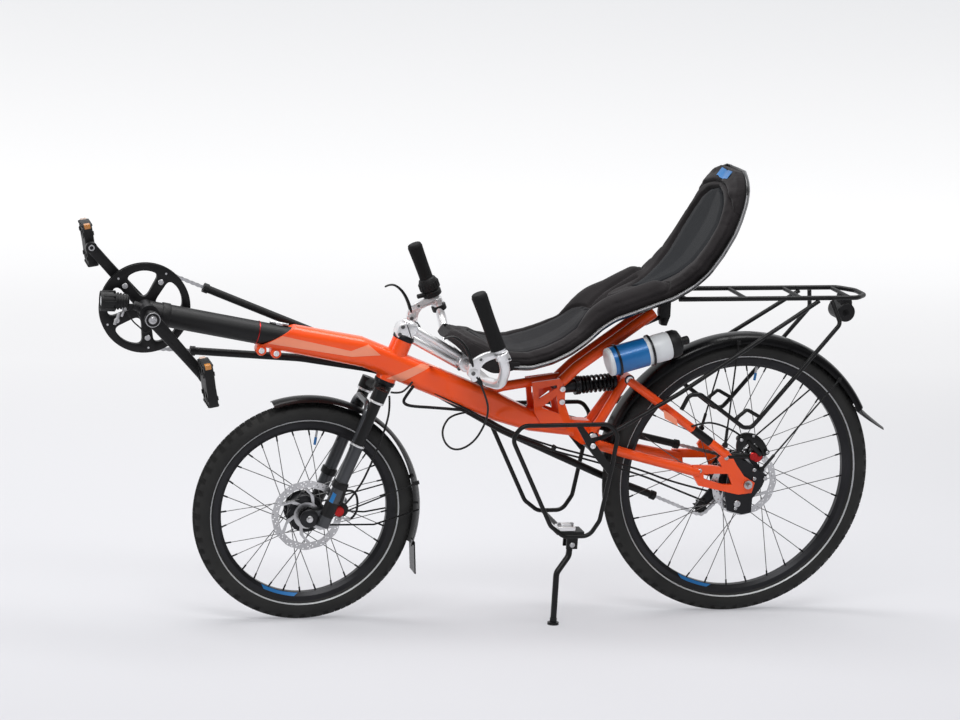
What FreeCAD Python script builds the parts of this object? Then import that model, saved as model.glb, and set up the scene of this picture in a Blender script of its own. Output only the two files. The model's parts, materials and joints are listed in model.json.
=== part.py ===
"""Recumbent bicycle, parked on its side stand.

Every sub-part is drawn in the frame of the upright bicycle, in millimetres:
X runs back from the front axle, Y runs to the rider's right, Z runs up from the ground.
The last step leans the whole bicycle over on its stand and puts the origin on the ground
under the middle of its box.
"""
import FreeCAD
import Part
import Sketcher
import math
import os
from FreeCAD import Placement, Rotation
from FreeCAD import Vector as V

doc = FreeCAD.newDocument("recumbent_bicycle")

# --- Driving dimensions: alias, value, what it measures -------------------------------------
DIMENSIONS = [
    ("wheelbase", 1022, "front axle to rear axle"),
    ("lean_angle", 6, "lean to the left when parked, degrees"),
    ("tyre_width", 47, "both tyres"),
    ("front_tyre_radius", 250, "over the tyre"),
    ("rear_tyre_radius", 326.5, "over the tyre"),
    ("rim_height", 22, "radial, flange to inner edge"),
    ("rim_width", 25, "over the flanges"),
    ("spoke_size", 2, "across a spoke"),
    ("spoke_pairs", 8, "pairs of crossed spokes on each side of a hub"),
    ("front_hub_width", 100, "between the fork ends"),
    ("rear_hub_width", 135, "between the dropouts"),
    ("front_flange_radius", 42, "hub flange"),
    ("rear_flange_radius", 54, "hub flange"),
    ("axle_radius", 5, "both axles"),
    ("disc_diameter", 160, "brake discs"),
    ("disc_thickness", 2, "brake discs"),
    ("disc_inset", 15, "hub end to the middle of the disc"),
    ("head_angle", 20.5, "steering axis from the vertical, degrees"),
    ("head_tube_length", 97, "without the bearing cups"),
    ("head_tube_radius", 23, "outside"),
    ("steerer_radius", 14.3, "steering tube"),
    ("fork_half_span", 60, "middle plane to a fork leg"),
    ("fork_leg_radius", 14.5, "lower legs"),
    ("stanchion_radius", 13, "upper tubes of the fork"),
    ("crank_length", 170, "spindle to pedal axle"),
    ("crank_half_span", 76, "middle plane to the middle of a crank arm"),
    ("crank_turn", 47, "left crank below the rearward horizontal, degrees"),
    ("pedal_length", 98, "tread of a pedal, fore and aft"),
    ("pedal_width", 86, "tread of a pedal, along its axle"),
    ("chain_line", 45, "middle plane to the chain"),
    ("chainring_teeth", 44, "44 teeth of 12.7 pitch"),
    ("sprocket_teeth", 16, "16 teeth of 12.7 pitch"),
    ("chain_height", 8.5, "side plate of the chain"),
    ("chain_width", 6.5, "over the pins"),
    ("boom_radius", 25, "sliding boom"),
    ("grip_span", 286, "middle plane to the middle of a grip"),
    ("grip_length", 122, "handle"),
    ("grip_radius", 16, "handle"),
    ("bar_radius", 11, "handlebar tube"),
    ("seat_half_width", 140, "seat at the hips"),
    ("cushion_thickness", 34, "seat cushion"),
    ("shell_thickness", 5, "seat shell"),
    ("rack_half_width", 60, "middle plane to a rack rail"),
    ("rack_tube_radius", 5, "rack and low rider tubes"),
    ("low_rider_half_span", 105, "middle plane to a low-rider loop"),
    ("fender_gap", 15, "tyre to fender"),
    ("fender_width", 56, "over the edges"),
    ("bottle_radius", 33, "water bottle"),
    ("cable_radius", 2.3, "brake hose or shift cable"),
    ("running_gap", 2, "clearance each side of a brake disc in its caliper"),
    ("spring_radius", 22, "outside of the shock's spring"),
]
sheet = doc.addObject("Spreadsheet::Sheet", "Dimensions")
for row, (alias, value, note) in enumerate(DIMENSIONS, start=2):
    sheet.set(f"A{row}", alias)
    sheet.set(f"B{row}", str(value))
    sheet.set(f"C{row}", note)
    sheet.setAlias(f"B{row}", alias)
doc.recompute()


def dim(alias):
    """The value of one cell of the sheet."""
    return float(sheet.get(alias))


# --- Places worked out from the driving dimensions ------------------------------------------
TYRE_HALF = dim("tyre_width") / 2
FRONT_AXLE = V(0, 0, dim("front_tyre_radius"))
REAR_AXLE = V(dim("wheelbase"), 0, dim("rear_tyre_radius"))
REAR_SHIFT = dim("wheelbase") - 1022          # how far the rear end has moved from the drawn place
HEAD_ANGLE = math.radians(dim("head_angle"))
STEER_UP = V(math.sin(HEAD_ANGLE), 0, math.cos(HEAD_ANGLE))
STEER_BACK = V(math.cos(HEAD_ANGLE), 0, -math.sin(HEAD_ANGLE))
HEAD_CENTRE = V(185, 0, 598)
CRANK_AXLE = V(-367, 0, 699)
RIGHT = V(0, 1, 0)
PITCH = 12.7


def pitch_radius(teeth):
    """Radius of the chain's pins round a ring of this many teeth."""
    return PITCH / (2 * math.sin(math.pi / teeth))


RING_PITCH = pitch_radius(dim("chainring_teeth"))
SPROCKET_PITCH = pitch_radius(dim("sprocket_teeth"))
FRONT_DISC_Y = -(dim("front_hub_width") / 2 - dim("disc_inset"))
REAR_DISC_Y = -(dim("rear_hub_width") / 2 - dim("disc_inset"))

BODIES = {}                                   # rigid body name: its nodes


def steer_point(up, back=0.0, side=0.0):
    """A point given along the steering axis, behind it and to the right of it."""
    return HEAD_CENTRE + STEER_UP * up + STEER_BACK * back + RIGHT * side


def rear(x, y, z):
    """A point of the rear end, which moves with the rear axle."""
    return V(x + REAR_SHIFT, y, z)


# --- Shape helpers --------------------------------------------------------------------------
def polar(centre, radius, degrees, y=0.0):
    """A point on a circle round an axle; the angle turns from backward to upward."""
    turn = math.radians(degrees)
    return V(centre.x + radius * math.cos(turn), y, centre.z + radius * math.sin(turn))


def bent_path(points, bend):
    """Straight runs joined by tangent arcs of radius bend, smaller where a run is short."""
    edges = []
    start = points[0]
    for before, corner, after in zip(points, points[1:], points[2:]):
        back = before - corner
        ahead = after - corner
        half_turn = (math.pi - back.getAngle(ahead)) / 2
        if half_turn < 0.01:
            continue
        reach = min(bend * math.tan(half_turn), 0.45 * back.Length, 0.45 * ahead.Length)
        radius = reach / math.tan(half_turn)
        back.normalize()
        ahead.normalize()
        middle = (back + ahead).normalize() * (radius / math.cos(half_turn) - radius)
        first, last = corner + back * reach, corner + ahead * reach
        edges.append(Part.LineSegment(start, first).toShape())
        edges.append(Part.Arc(first, corner + middle, last).toShape())
        start = last
    edges.append(Part.LineSegment(start, points[-1]).toShape())
    return Part.Wire(edges)


def tube(points, radius, bend=30.0):
    """A round bar along a bent path."""
    path = bent_path(points, bend)
    section = Part.Face(Part.Wire(Part.makeCircle(radius, points[0], points[1] - points[0])))
    solid = path.makePipe(section)
    swept = math.pi * radius ** 2 * path.Length
    if abs(solid.Volume - swept) > 0.01 * swept:
        raise ValueError(f"tube swept badly: {solid.Volume:.0f} against {swept:.0f}")
    return solid


def rod(start, end, radius):
    """A straight round bar."""
    return Part.makeCylinder(radius, (end - start).Length, start, end - start)


def disc_y(centre, radius, y_from, y_to):
    """A round disc across the bicycle."""
    base = V(centre.x, y_from, centre.z)
    return Part.makeCylinder(radius, y_to - y_from, base, RIGHT)


def plate(outline, y_from, y_to):
    """A flat plate along the bicycle, from (x, z) corners."""
    corners = [V(x, y_from, z) for x, z in outline]
    return Part.Face(Part.makePolygon(corners + corners[:1])).extrude(RIGHT * (y_to - y_from))


def rounded_section(x, z, width, height, corner):
    """A rounded rectangle across the bicycle, of lines and arcs."""
    half_w, half_h = width / 2, height / 2
    r = min(corner, half_w * 0.9, half_h * 0.9)
    edges = []
    quarter = r * math.sqrt(0.5)
    # sign of y and z at each corner, anticlockwise
    for sy, sz, ny, nz in ((1, 1, -1, 1), (-1, 1, -1, -1), (-1, -1, 1, -1), (1, -1, 1, 1)):
        cy, cz = sy * (half_w - r), z + sz * (half_h - r)
        if sy == sz:
            first, last = V(x, cy + sy * r, cz), V(x, cy, cz + sz * r)
        else:
            first, last = V(x, cy, cz + sz * r), V(x, cy + sy * r, cz)
        edges.append(Part.Arc(first, V(x, cy + sy * quarter, cz + sz * quarter), last).toShape())
        ncy, ncz = ny * (half_w - r), z + nz * (half_h - r)
        if sy == sz:
            following = V(x, ncy, ncz + nz * r)
        else:
            following = V(x, ncy + ny * r, ncz)
        edges.append(Part.LineSegment(last, following).toShape())
    return Part.Wire(edges)


def fuse(shapes):
    """One solid of several that meet."""
    whole = shapes[0].multiFuse(shapes[1:]) if len(shapes) > 1 else shapes[0]
    return whole.removeSplitter()


def coped(shape, *others):
    """The piece cut back where it butts against others."""
    for other in others:
        shape = shape.cut(other)
    return shape


def shape_of(label):
    """Shape of a sub-part made earlier."""
    made = doc.getObjectsByLabel(label)[0]
    if made.Shape.isNull():
        doc.recompute()
    return made.Shape


def mirrored(shape):
    """The same piece on the other side of the bicycle."""
    return shape.mirror(V(0, 0, 0), RIGHT)


def node(body, label, shape):
    """One named sub-part of a rigid body, kept as a feature with its own placement."""
    feature = doc.addObject("Part::Feature", label)
    feature.Label = label
    feature.Shape = shape
    BODIES.setdefault(body, []).append(feature)
    return feature


# --- PartDesign helpers ---------------------------------------------------------------------
def new_body(body, label, place=None):
    """A PartDesign body for one sub-part."""
    design = doc.addObject("PartDesign::Body", label)
    design.Label = label
    design.Placement = Placement(place or V(0, 0, 0), Rotation())
    BODIES.setdefault(body, []).append(design)
    return design


def origin_of(design, role):
    """One of a body's own origin planes or axes."""
    return next(f for f in design.Origin.OriginFeatures if f.Role == role)


def sketch(design, role, name):
    """An empty sketch on one of a body's own planes."""
    drawn = design.newObject("Sketcher::SketchObject", name)
    drawn.AttachmentSupport = [(origin_of(design, role), "")]
    drawn.MapMode = "FlatFace"
    return drawn


def draw_polygon(drawn, corners):
    """Closed straight outline."""
    points = [V(x, y, 0) for x, y in corners]
    first = drawn.GeometryCount
    for start, end in zip(points, points[1:] + points[:1]):
        drawn.addGeometry(Part.LineSegment(start, end), False)
    count = len(points)
    for i in range(count):
        link = ("Coincident", first + i, 2, first + (i + 1) % count, 1)
        drawn.addConstraint(Sketcher.Constraint(*link))


def draw_circle(drawn, x, y, radius, formula=None):
    """A circle whose radius may follow the sheet."""
    index = drawn.addGeometry(Part.Circle(V(x, y, 0), V(0, 0, 1), radius), False)
    if formula:
        place = drawn.addConstraint(Sketcher.Constraint("Radius", index, radius))
        drawn.setExpression(f"Constraints[{place}]", formula)


def pad(design, drawn, formula, symmetric=True, backward=False):
    """Thicken a sketch."""
    made = design.newObject("PartDesign::Pad", drawn.Name + "_pad")
    made.Profile = drawn
    made.setExpression("Length", formula)
    made.SideType = "Symmetric" if symmetric else "One side"
    made.Reversed = backward
    return made


def pocket_through(design, drawn):
    """Cut a sketch right through, both ways."""
    made = design.newObject("PartDesign::Pocket", drawn.Name + "_cut")
    made.Profile = drawn
    made.Type = "ThroughAll"
    made.SideType = "Symmetric"
    return made


def turn(design, drawn):
    """Turn a sketch about the body's Y axis."""
    made = design.newObject("PartDesign::Revolution", drawn.Name + "_turned")
    made.Profile = drawn
    made.ReferenceAxis = (origin_of(design, "Y_Axis"), [""])
    made.Angle = 360
    return made


def repeat_round(design, feature, count_formula):
    """Repeat a cut about the body's Y axis."""
    made = design.newObject("PartDesign::PolarPattern", feature.Name + "_round")
    made.Originals = [feature]
    made.Axis = (origin_of(design, "Y_Axis"), [""])
    made.Angle = 360
    made.setExpression("Occurrences", count_formula)
    design.Tip = made
    return made


# --- Wheels ---------------------------------------------------------------------------------
def tyre(body, label, axle, radius):
    """Round tyre section seated on the rim's flanges."""
    design = new_body(body, label, axle)
    drawn = sketch(design, "XY_Plane", label + "_section")
    centre = radius - TYRE_HALF
    bead = centre - 0.72 * TYRE_HALF
    wall = math.sqrt(TYRE_HALF ** 2 - (0.64 * TYRE_HALF) ** 2)
    shoulder = centre - 0.64 * TYRE_HALF
    flange = dim("rim_width") / 2 - 2
    top = Part.Arc(V(shoulder, wall, 0), V(radius, 0, 0), V(shoulder, -wall, 0))
    drawn.addGeometry(top, False)
    low = [(shoulder, -wall), (bead, -flange), (bead - 6, -flange), (bead - 6, flange),
           (bead, flange), (shoulder, wall)]
    for start, end in zip(low, low[1:]):
        drawn.addGeometry(Part.LineSegment(V(*start, 0), V(*end, 0)), False)
    turn(design, drawn)


def rim(body, label, axle, radius):
    """Deep rim with a channel that holds the tyre's beads."""
    design = new_body(body, label, axle)
    drawn = sketch(design, "XY_Plane", label + "_section")
    flange_top = radius - TYRE_HALF - 0.72 * TYRE_HALF
    half, wall = dim("rim_width") / 2, 2
    inner = flange_top - dim("rim_height")
    seat = flange_top - 6
    outline = [(flange_top, half), (flange_top, half - wall), (seat, half - wall),
               (seat, wall - half), (flange_top, wall - half), (flange_top, -half),
               (flange_top - 14, -half), (inner, -half * 0.5), (inner, half * 0.5),
               (flange_top - 14, half)]
    draw_polygon(drawn, outline)
    turn(design, drawn)


def rim_inner_radius(tyre_radius):
    """Radius where the spokes enter the rim."""
    return tyre_radius - TYRE_HALF * 1.72 - dim("rim_height")


def spokes(body, label, axle, tyre_radius, flange_radius, flange_y):
    """Crossed spokes between the hub's flanges and the rim, four at each step round."""
    pairs = int(dim("spoke_pairs"))
    size = dim("spoke_size")
    end_radius = rim_inner_radius(tyre_radius) - 0.1
    start_radius = flange_radius - 4
    sweep = 62                                # how far round the hub a spoke leans, degrees
    # side of the hub, lean of the spoke, offset from the flange, share of a step
    table = ((-1, 1, 3.5, 0.00), (-1, -1, -3.5, 0.50), (1, 1, 3.5, 0.25), (1, -1, -3.5, 0.75))
    solids = []
    for side, lean, offset, share in table:
        for pair in range(pairs):
            rim_at = 360 * (pair + share) / pairs
            hub_y = side * (flange_y + offset)
            start = polar(axle, start_radius, rim_at - lean * sweep, hub_y)
            end = polar(axle, end_radius, rim_at, side * 3)
            along = end - start
            across = along.cross(RIGHT).normalize() * (size / 2)
            other = along.cross(across).normalize() * (size / 2)
            corners = [start + across, start + other, start - across, start - other]
            section = Part.Face(Part.makePolygon(corners + corners[:1]))
            solids.append(section.extrude(along))
    return node(body, label, Part.makeCompound(solids))


def hub(body, label, axle, half_width, barrel, flange_radius, flange_y, neck=14):
    """Drum hub turned in one piece, bored for its axle."""
    design = new_body(body, label, axle)
    drawn = sketch(design, "XY_Plane", label + "_section")
    bore = dim("axle_radius") + 0.3
    disc_face = half_width - dim("disc_inset") - dim("disc_thickness") / 2
    rounding = 8
    outline = [(bore, disc_face), (neck + 8, disc_face), (neck + 8, flange_y + rounding),
               (barrel, flange_y + 2), (flange_radius, flange_y + 1.2),
               (flange_radius, flange_y - 1.2), (barrel, flange_y - 2)]
    mirror = [(x, -y) for x, y in reversed(outline)]
    draw_polygon(drawn, outline + mirror)
    turn(design, drawn)


def disc(body, label, axle, y):
    """Brake disc: a slotted ring carried on curved arms."""
    design = new_body(body, label, V(axle.x, y, axle.z))
    ring = sketch(design, "XZ_Plane", label + "_blank")
    draw_circle(ring, 0, 0, dim("disc_diameter") / 2, "Dimensions.disc_diameter / 2")
    draw_circle(ring, 0, 0, dim("axle_radius") + 6)
    pad(design, ring, "Dimensions.disc_thickness")
    outer = dim("disc_diameter") / 2 - 17
    window = sketch(design, "XZ_Plane", label + "_window")
    lean = [polar(V(0, 0, 0), r, a) for r, a in ((outer, 4), (outer, 44), (26, 62), (26, 34))]
    arc_mid = polar(V(0, 0, 0), outer, 24)
    flat = [V(p.x, p.z, 0) for p in lean]
    window.addGeometry(Part.Arc(flat[0], V(arc_mid.x, arc_mid.z, 0), flat[1]), False)
    for start, end in zip(flat[1:], flat[2:] + flat[:1]):
        window.addGeometry(Part.LineSegment(start, end), False)
    cut = pocket_through(design, window)
    repeat_round(design, cut, "6")
    slot = sketch(design, "XZ_Plane", label + "_vent")
    draw_circle(slot, dim("disc_diameter") / 2 - 8, 0, 4)
    vents = pocket_through(design, slot)
    repeat_round(design, vents, "12")


FRONT_FLANGE_Y = 22
REAR_FLANGE_Y = 30


def wheels():
    """Both wheels."""
    front, back = dim("front_tyre_radius"), dim("rear_tyre_radius")
    tyre("front_wheel", "front_tyre", FRONT_AXLE, front)
    rim("front_wheel", "front_rim", FRONT_AXLE, front)
    hub("front_wheel", "front_hub", FRONT_AXLE, dim("front_hub_width") / 2, 36,
        dim("front_flange_radius"), FRONT_FLANGE_Y)
    spokes("front_wheel", "front_spokes", FRONT_AXLE, front, dim("front_flange_radius"),
           FRONT_FLANGE_Y)
    disc("front_wheel", "front_disc", FRONT_AXLE, FRONT_DISC_Y)
    tyre("rear_wheel", "rear_tyre", REAR_AXLE, back)
    rim("rear_wheel", "rear_rim", REAR_AXLE, back)
    hub("rear_wheel", "rear_hub", REAR_AXLE, dim("rear_hub_width") / 2, 48,
        dim("rear_flange_radius"), REAR_FLANGE_Y)
    spokes("rear_wheel", "rear_spokes", REAR_AXLE, back, dim("rear_flange_radius"),
           REAR_FLANGE_Y)
    disc("rear_wheel", "rear_disc", REAR_AXLE, REAR_DISC_Y)
    toothed_ring("rear_wheel", "rear_sprocket", REAR_AXLE, SPROCKET_PITCH,
                 int(dim("sprocket_teeth")), 24, 6)


def toothed_ring(body, label, axle, pitch, teeth, bore, boss):
    """Ring of short teeth that stops just under the chain."""
    root = pitch - dim("chain_height") / 2 - 3.5
    tip = pitch - dim("chain_height") / 2 - 0.5
    corners = []
    for tooth in range(teeth):
        for share, r in ((0.0, root), (0.5, root), (0.66, tip), (0.84, tip)):
            p = polar(V(0, 0, 0), r, 360 * (tooth + share) / teeth)
            corners.append((p.x, p.z))
    design = new_body(body, label, V(axle.x, dim("chain_line"), axle.z))
    drawn = sketch(design, "XZ_Plane", label + "_teeth")
    draw_polygon(drawn, corners)
    draw_circle(drawn, 0, 0, bore)
    pad(design, drawn, "3")
    if boss:
        collar = sketch(design, "XZ_Plane", label + "_collar")
        draw_circle(collar, 0, 0, bore + 3.5)
        draw_circle(collar, 0, 0, bore)
        pad(design, collar, str(boss))
    return design


# --- Frame ----------------------------------------------------------------------------------
# Main tube sections: x, middle z, width, height, corner radius
MAIN_TUBE = [
    (-140, 660.0, 52, 60, 22),
    (111, 615.7, 54, 66, 20),
    (222, 572.3, 54, 67, 20),
    (421, 494.8, 54, 67, 18),
    (505, 463.0, 50, 50, 14),
    (610, 446.0, 50, 38, 10),
]
PIVOT = V(652, 0, 428)
SHOCK_FRONT = V(598.8, 0, 539.8)
SHOCK_REAR = V(723, 0, 552.4)


def main_frame():
    """Sleeve for the boom, bent main tube, head tube and the block at the swingarm pivot."""
    sections = [rounded_section(*row) for row in MAIN_TUBE]
    body = Part.makeLoft(sections, True, True)
    # the sleeve's front end is cut on a slant
    wedge = plate([(-300, 720), (-300, 600), (-176, 600), (44, 720)], -60, 60)
    half = dim("head_tube_length") / 2
    head = rod(steer_point(-half), steer_point(half), dim("head_tube_radius"))
    block = plate([(600, 465), (600, 428), (634, 406), (668, 408), (674, 444), (648, 462)], -15, 15)
    inner = boom_axis_rod(dim("boom_radius") + 0.2, -170, -20)
    bore = rod(steer_point(-half - 5), steer_point(half + 5), dim("steerer_radius") + 2.5)
    pivot_bore = disc_y(PIVOT, 8.2, -40, 40)
    whole = fuse([body.cut(wedge), head, block])
    return node("frame", "main_frame", whole.cut(inner).cut(bore).cut(pivot_bore))


def boom_point(x):
    """A point on the boom's axis."""
    return V(x, 0, CRANK_AXLE.z - 0.1765 * (x - CRANK_AXLE.x))


def boom_axis_rod(radius, x_from, x_to):
    """A round bar on the boom's axis."""
    return rod(boom_point(x_from), boom_point(x_to), radius)


def boom():
    """Sliding boom with the bearing shell across its front end."""
    bar = boom_axis_rod(dim("boom_radius"), CRANK_AXLE.x, -22)
    shell = disc_y(CRANK_AXLE, 21, -34, 34)
    bore = disc_y(CRANK_AXLE, 12.3, -40, 40)
    post = rod(CRANK_AXLE + V(-12, 0, 8), CRANK_AXLE + V(-30, 0, 14), 10)
    return node("frame", "boom", fuse([bar, shell, post]).cut(bore))


GUSSET = [(499.7, 554.3), (565.1, 563.5), (579, 539.9), (580.1, 507.2), (598.6, 464.1),
          (585, 447), (530, 456), (511.1, 483.3)]
GUSSET_WINDOW = [(515.8, 539.6), (558, 549), (560.7, 542.7), (517.6, 515.9)]
GUSSET_TRIANGLE = [(526.6, 496.7), (559.2, 523.5), (568.6, 482)]


def gusset_plates():
    """Pair of windowed plates that carry the seat tube and the shock."""
    design = new_body("frame", "gusset_plates")
    outline = sketch(design, "XZ_Plane", "gusset_outline")
    draw_polygon(outline, GUSSET)
    draw_polygon(outline, GUSSET_WINDOW)
    draw_polygon(outline, GUSSET_TRIANGLE)
    pad(design, outline, "62")
    middle = sketch(design, "YZ_Plane", "gusset_middle")
    draw_polygon(middle, [(-26, 380), (26, 380), (26, 640), (-26, 640)])
    cut = design.newObject("PartDesign::Pocket", "gusset_middle_cut")
    cut.Profile = middle
    cut.Type = "ThroughAll"
    cut.SideType = "Symmetric"
    return design


def seat_strut():
    """Seat tube over the main tube, cross tubes and the struts up the seat's back."""
    lower = tube([V(392, 0, 524), V(440, 0, 538), V(572, 0, 560)], 11)
    cross = disc_y(V(566, 0, 556), 8, -26, 26)
    back = [tube([V(571, y, 553), V(606, y, 588), V(661, y, 630), V(779, y, 717)], 13, 40)
            for y in (-19, 19)]
    strut = fuse([lower, cross] + back)
    return node("frame", "seat_strut", coped(strut, shape_of("main_frame"), shape_of("gusset_plates")))


def swingarm():
    """Rear arm: front tubes, chainstays, seatstays and dropouts, each its own piece."""
    pivot_tube = disc_y(PIVOT, 16, -34, -15).fuse(disc_y(PIVOT, 16, 15, 34))
    pivot_pin = disc_y(PIVOT, 8.2, -34, 34)
    apex = V(728, 0, 563)
    fronts = [tube([V(652, side * 25.7, 440), V(669, side * 25.7, 465),
                    V(apex.x, side * 15, apex.z)], 10.5, 60) for side in (-1, 1)]
    yoke = disc_y(apex, 12, -36, -9).fuse(disc_y(apex, 12, 9, 36))
    shock_pin = disc_y(apex, 5, -36, 36)
    front_frame = fuse([pivot_tube, pivot_pin, yoke, shock_pin] + fronts)
    node("frame", "swingarm_front", front_frame)
    outline = [(885, 372), (884, 352), (902, 324), (1002, 302), (1034, 306), (1040, 330),
               (1012, 346), (992, 372), (974, 400), (958, 402), (946, 384), (956, 368), (930, 372)]
    window = [(912, 352), (914, 340), (962, 326), (984, 326), (972, 352)]
    moved = [(x + REAR_SHIFT, z) for x, z in outline]
    hole = [(x + REAR_SHIFT, z) for x, z in window]
    inner = dim("rear_hub_width") / 2
    side_plate = plate(moved, inner, inner + 8).cut(plate(hole, inner - 1, inner + 9))
    side_plate = side_plate.cut(disc_y(REAR_AXLE, dim("axle_radius"), inner - 1, inner + 9))
    both = Part.makeCompound([side_plate, mirrored(side_plate)])
    node("frame", "dropouts", both)
    stays, uppers = [], []
    for side in (-1, 1):
        stays.append(tube([V(660, side * 40, 413), V(740, side * 42, 390.5),
                           rear(902, side * 70, 354)], 11.5, 60))
        uppers.append(tube([apex + V(0, side * 33, -2), V(768, side * 43, 534),
                            rear(966, side * 71.5, 396)], 10, 60))
    node("frame", "chainstays", Part.makeCompound([coped(s, front_frame, both) for s in stays]))
    node("frame", "seatstays", Part.makeCompound([coped(s, front_frame, both) for s in uppers]))


def shock():
    """Spring and damper between the gusset plates and the swingarm."""
    along = SHOCK_REAR - SHOCK_FRONT
    axis = V(along.x, along.y, along.z).normalize()
    front_eye = V(571, 0, 537)
    body = fuse([rod(front_eye, SHOCK_FRONT + axis * 24, 15), disc_y(front_eye, 11, -24, 24),
                 rod(SHOCK_FRONT + axis * 14, SHOCK_REAR + axis * -12, 8),
                 rod(SHOCK_REAR + axis * -22, SHOCK_REAR + axis * -17, 18)])
    body = coped(body, shape_of("swingarm_front"), shape_of("seat_strut"))
    node("frame", "shock_body", body)
    wire_radius = 4
    coils = 6
    start, end = 29.0, along.Length - 30.0
    rings = []
    for coil in range(coils):
        place = SHOCK_FRONT + axis * (start + (end - start) * coil / (coils - 1))
        rings.append(Part.makeTorus(dim("spring_radius") - wire_radius, wire_radius, place, axis))
    node("frame", "shock_spring", Part.makeCompound(rings))


# --- Seat -----------------------------------------------------------------------------------
# Seat stations: x, z of the shell's underside at the middle, slope, share of the half width
SEAT = [
    (288, 655, -38, 0.24),
    (300, 646, -38, 0.48),
    (318, 635, -36, 0.66),
    (342, 623, -30, 0.76),
    (374, 604, -18, 0.87),
    (413, 592, -5, 0.92),
    (467, 591, 6, 0.93),
    (521, 606, 19, 0.92),
    (566, 626, 27, 0.86),
    (607, 652, 35, 0.78),
    (641, 682, 37, 0.73),
    (671, 702, 28, 0.74),
    (704, 715, 24, 0.79),
    (747, 734, 23, 0.86),
    (794, 752, 27, 0.89),
    (841, 782, 39, 0.92),
    (876, 817, 51, 0.96),
    (905, 862, 60, 0.99),
    (930, 909, 65, 0.99),
    (943, 943, 70, 0.96),
    (955, 983, 74, 0.90),
    (960, 1012, 78, 0.82),
    (963, 1034, 81, 0.64),
    (965, 1049, 83, 0.36),
]


def seat_section(station, low, high, inset):
    """Shallow curved band across the seat, between two heights over the shell's underside."""
    x, z, slope, share = station
    lean = math.radians(slope)
    up = V(-math.sin(lean), 0, math.cos(lean))
    half = dim("seat_half_width") * share - inset
    rise = 14 * share
    base = V(x, 0, z)
    points = []
    for height in (low, high):
        for side in (-1, 0, 1):
            points.append(base + up * (height + rise * abs(side)) + RIGHT * (side * half))
    lower = Part.Arc(points[0], points[1], points[2]).toShape()
    upper = Part.Arc(points[5], points[4], points[3]).toShape()
    right = Part.LineSegment(points[2], points[5]).toShape()
    left = Part.LineSegment(points[3], points[0]).toShape()
    return Part.Wire([lower, right, upper, left])


def seat():
    """Thin curved shell with the cushion on it."""
    thick = dim("shell_thickness")
    shell = Part.makeLoft([seat_section(s, 0, thick, 0) for s in SEAT], True, True)
    clamp = plate([(798, 752), (822, 760), (824, 706), (817, 683), (803, 684), (796, 712)], -9, 9)
    clamp = coped(fuse([clamp, rod(V(766, 0, 686), V(806, 0, 704), 5)]), shell, shape_of("seat_strut"))
    node("frame", "seat_shell", Part.makeCompound([shell, clamp]))
    top = thick + 0.5 + dim("cushion_thickness")
    pad_shape = Part.makeLoft([seat_section(s, thick + 0.5, top, 5) for s in SEAT], True, True)
    node("frame", "seat_cushion", pad_shape)


# --- Front end ------------------------------------------------------------------------------
LEG_LEAD = 17.0                               # fork legs ahead of the steering axis


def fork():
    """Suspension fork: crown with steerer and stanchions, lower legs with their arch."""
    span = dim("fork_half_span")
    crown_up = -76.0
    steerer = rod(steer_point(crown_up), steer_point(88), dim("steerer_radius"))
    bridge_points = [steer_point(crown_up, -LEG_LEAD, -span), steer_point(crown_up + 2, -4, -22),
                     steer_point(crown_up + 2, -4, 22), steer_point(crown_up, -LEG_LEAD, span)]
    bridge = tube(bridge_points, 13, 20)
    race = rod(steer_point(crown_up), steer_point(-dim("head_tube_length") / 2 - 1), 20)
    collars = [rod(steer_point(crown_up - 20, -LEG_LEAD, s), steer_point(crown_up + 11, -LEG_LEAD, s),
                   17) for s in (-span, span)]
    tops = [rod(steer_point(-200, -LEG_LEAD, s), steer_point(crown_up, -LEG_LEAD, s),
                dim("stanchion_radius")) for s in (-span, span)]
    node("steering", "fork_crown", fuse([steerer, race, bridge] + collars + tops))
    axle_down = (FRONT_AXLE - HEAD_CENTRE).dot(STEER_UP)
    axle_back = (FRONT_AXLE - HEAD_CENTRE).dot(STEER_BACK)
    lowers = []
    hub_half = dim("front_hub_width") / 2
    for side in (-1, 1):
        top = steer_point(-201, -LEG_LEAD, side * span)
        low = steer_point(axle_down - 6, -LEG_LEAD, side * span)
        leg = rod(low, top, dim("fork_leg_radius"))
        seal = rod(steer_point(-206, -LEG_LEAD, side * span), top, dim("fork_leg_radius") + 2)
        inner = side * hub_half
        outer = side * (hub_half + 8)
        foot = [steer_point(axle_down + 34, -LEG_LEAD + 2), steer_point(axle_down - 6, -LEG_LEAD + 6),
                FRONT_AXLE + V(2, 0, -14), FRONT_AXLE + V(-12, 0, -6), FRONT_AXLE + V(-10, 0, 12)]
        ear = plate([(p.x, p.z) for p in foot], min(inner, outer), max(inner, outer))
        ear = ear.cut(disc_y(FRONT_AXLE, dim("axle_radius"), -80, 80))
        lowers += [leg, seal, ear]
    arch_high = (FRONT_AXLE - HEAD_CENTRE).dot(STEER_UP) + dim("front_tyre_radius") + 34
    arch = tube([steer_point(-215, -LEG_LEAD - 8, -span), steer_point(arch_high, -LEG_LEAD - 12, -span),
                 steer_point(arch_high, -LEG_LEAD - 12, span), steer_point(-215, -LEG_LEAD - 8, span)],
                7, 30)
    node("steering", "fork_lowers", coped(fuse(lowers + [arch]), *tops))
    pin = disc_y(FRONT_AXLE, dim("axle_radius"), -hub_half - 25, hub_half + 14)
    nuts = [disc_y(FRONT_AXLE, 9, hub_half + 8, hub_half + 13),
            disc_y(FRONT_AXLE, 9, -hub_half - 13, -hub_half - 8)]
    node("steering", "front_axle", fuse([pin] + nuts))


BAR = V(347.2, 0, 594)


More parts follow.
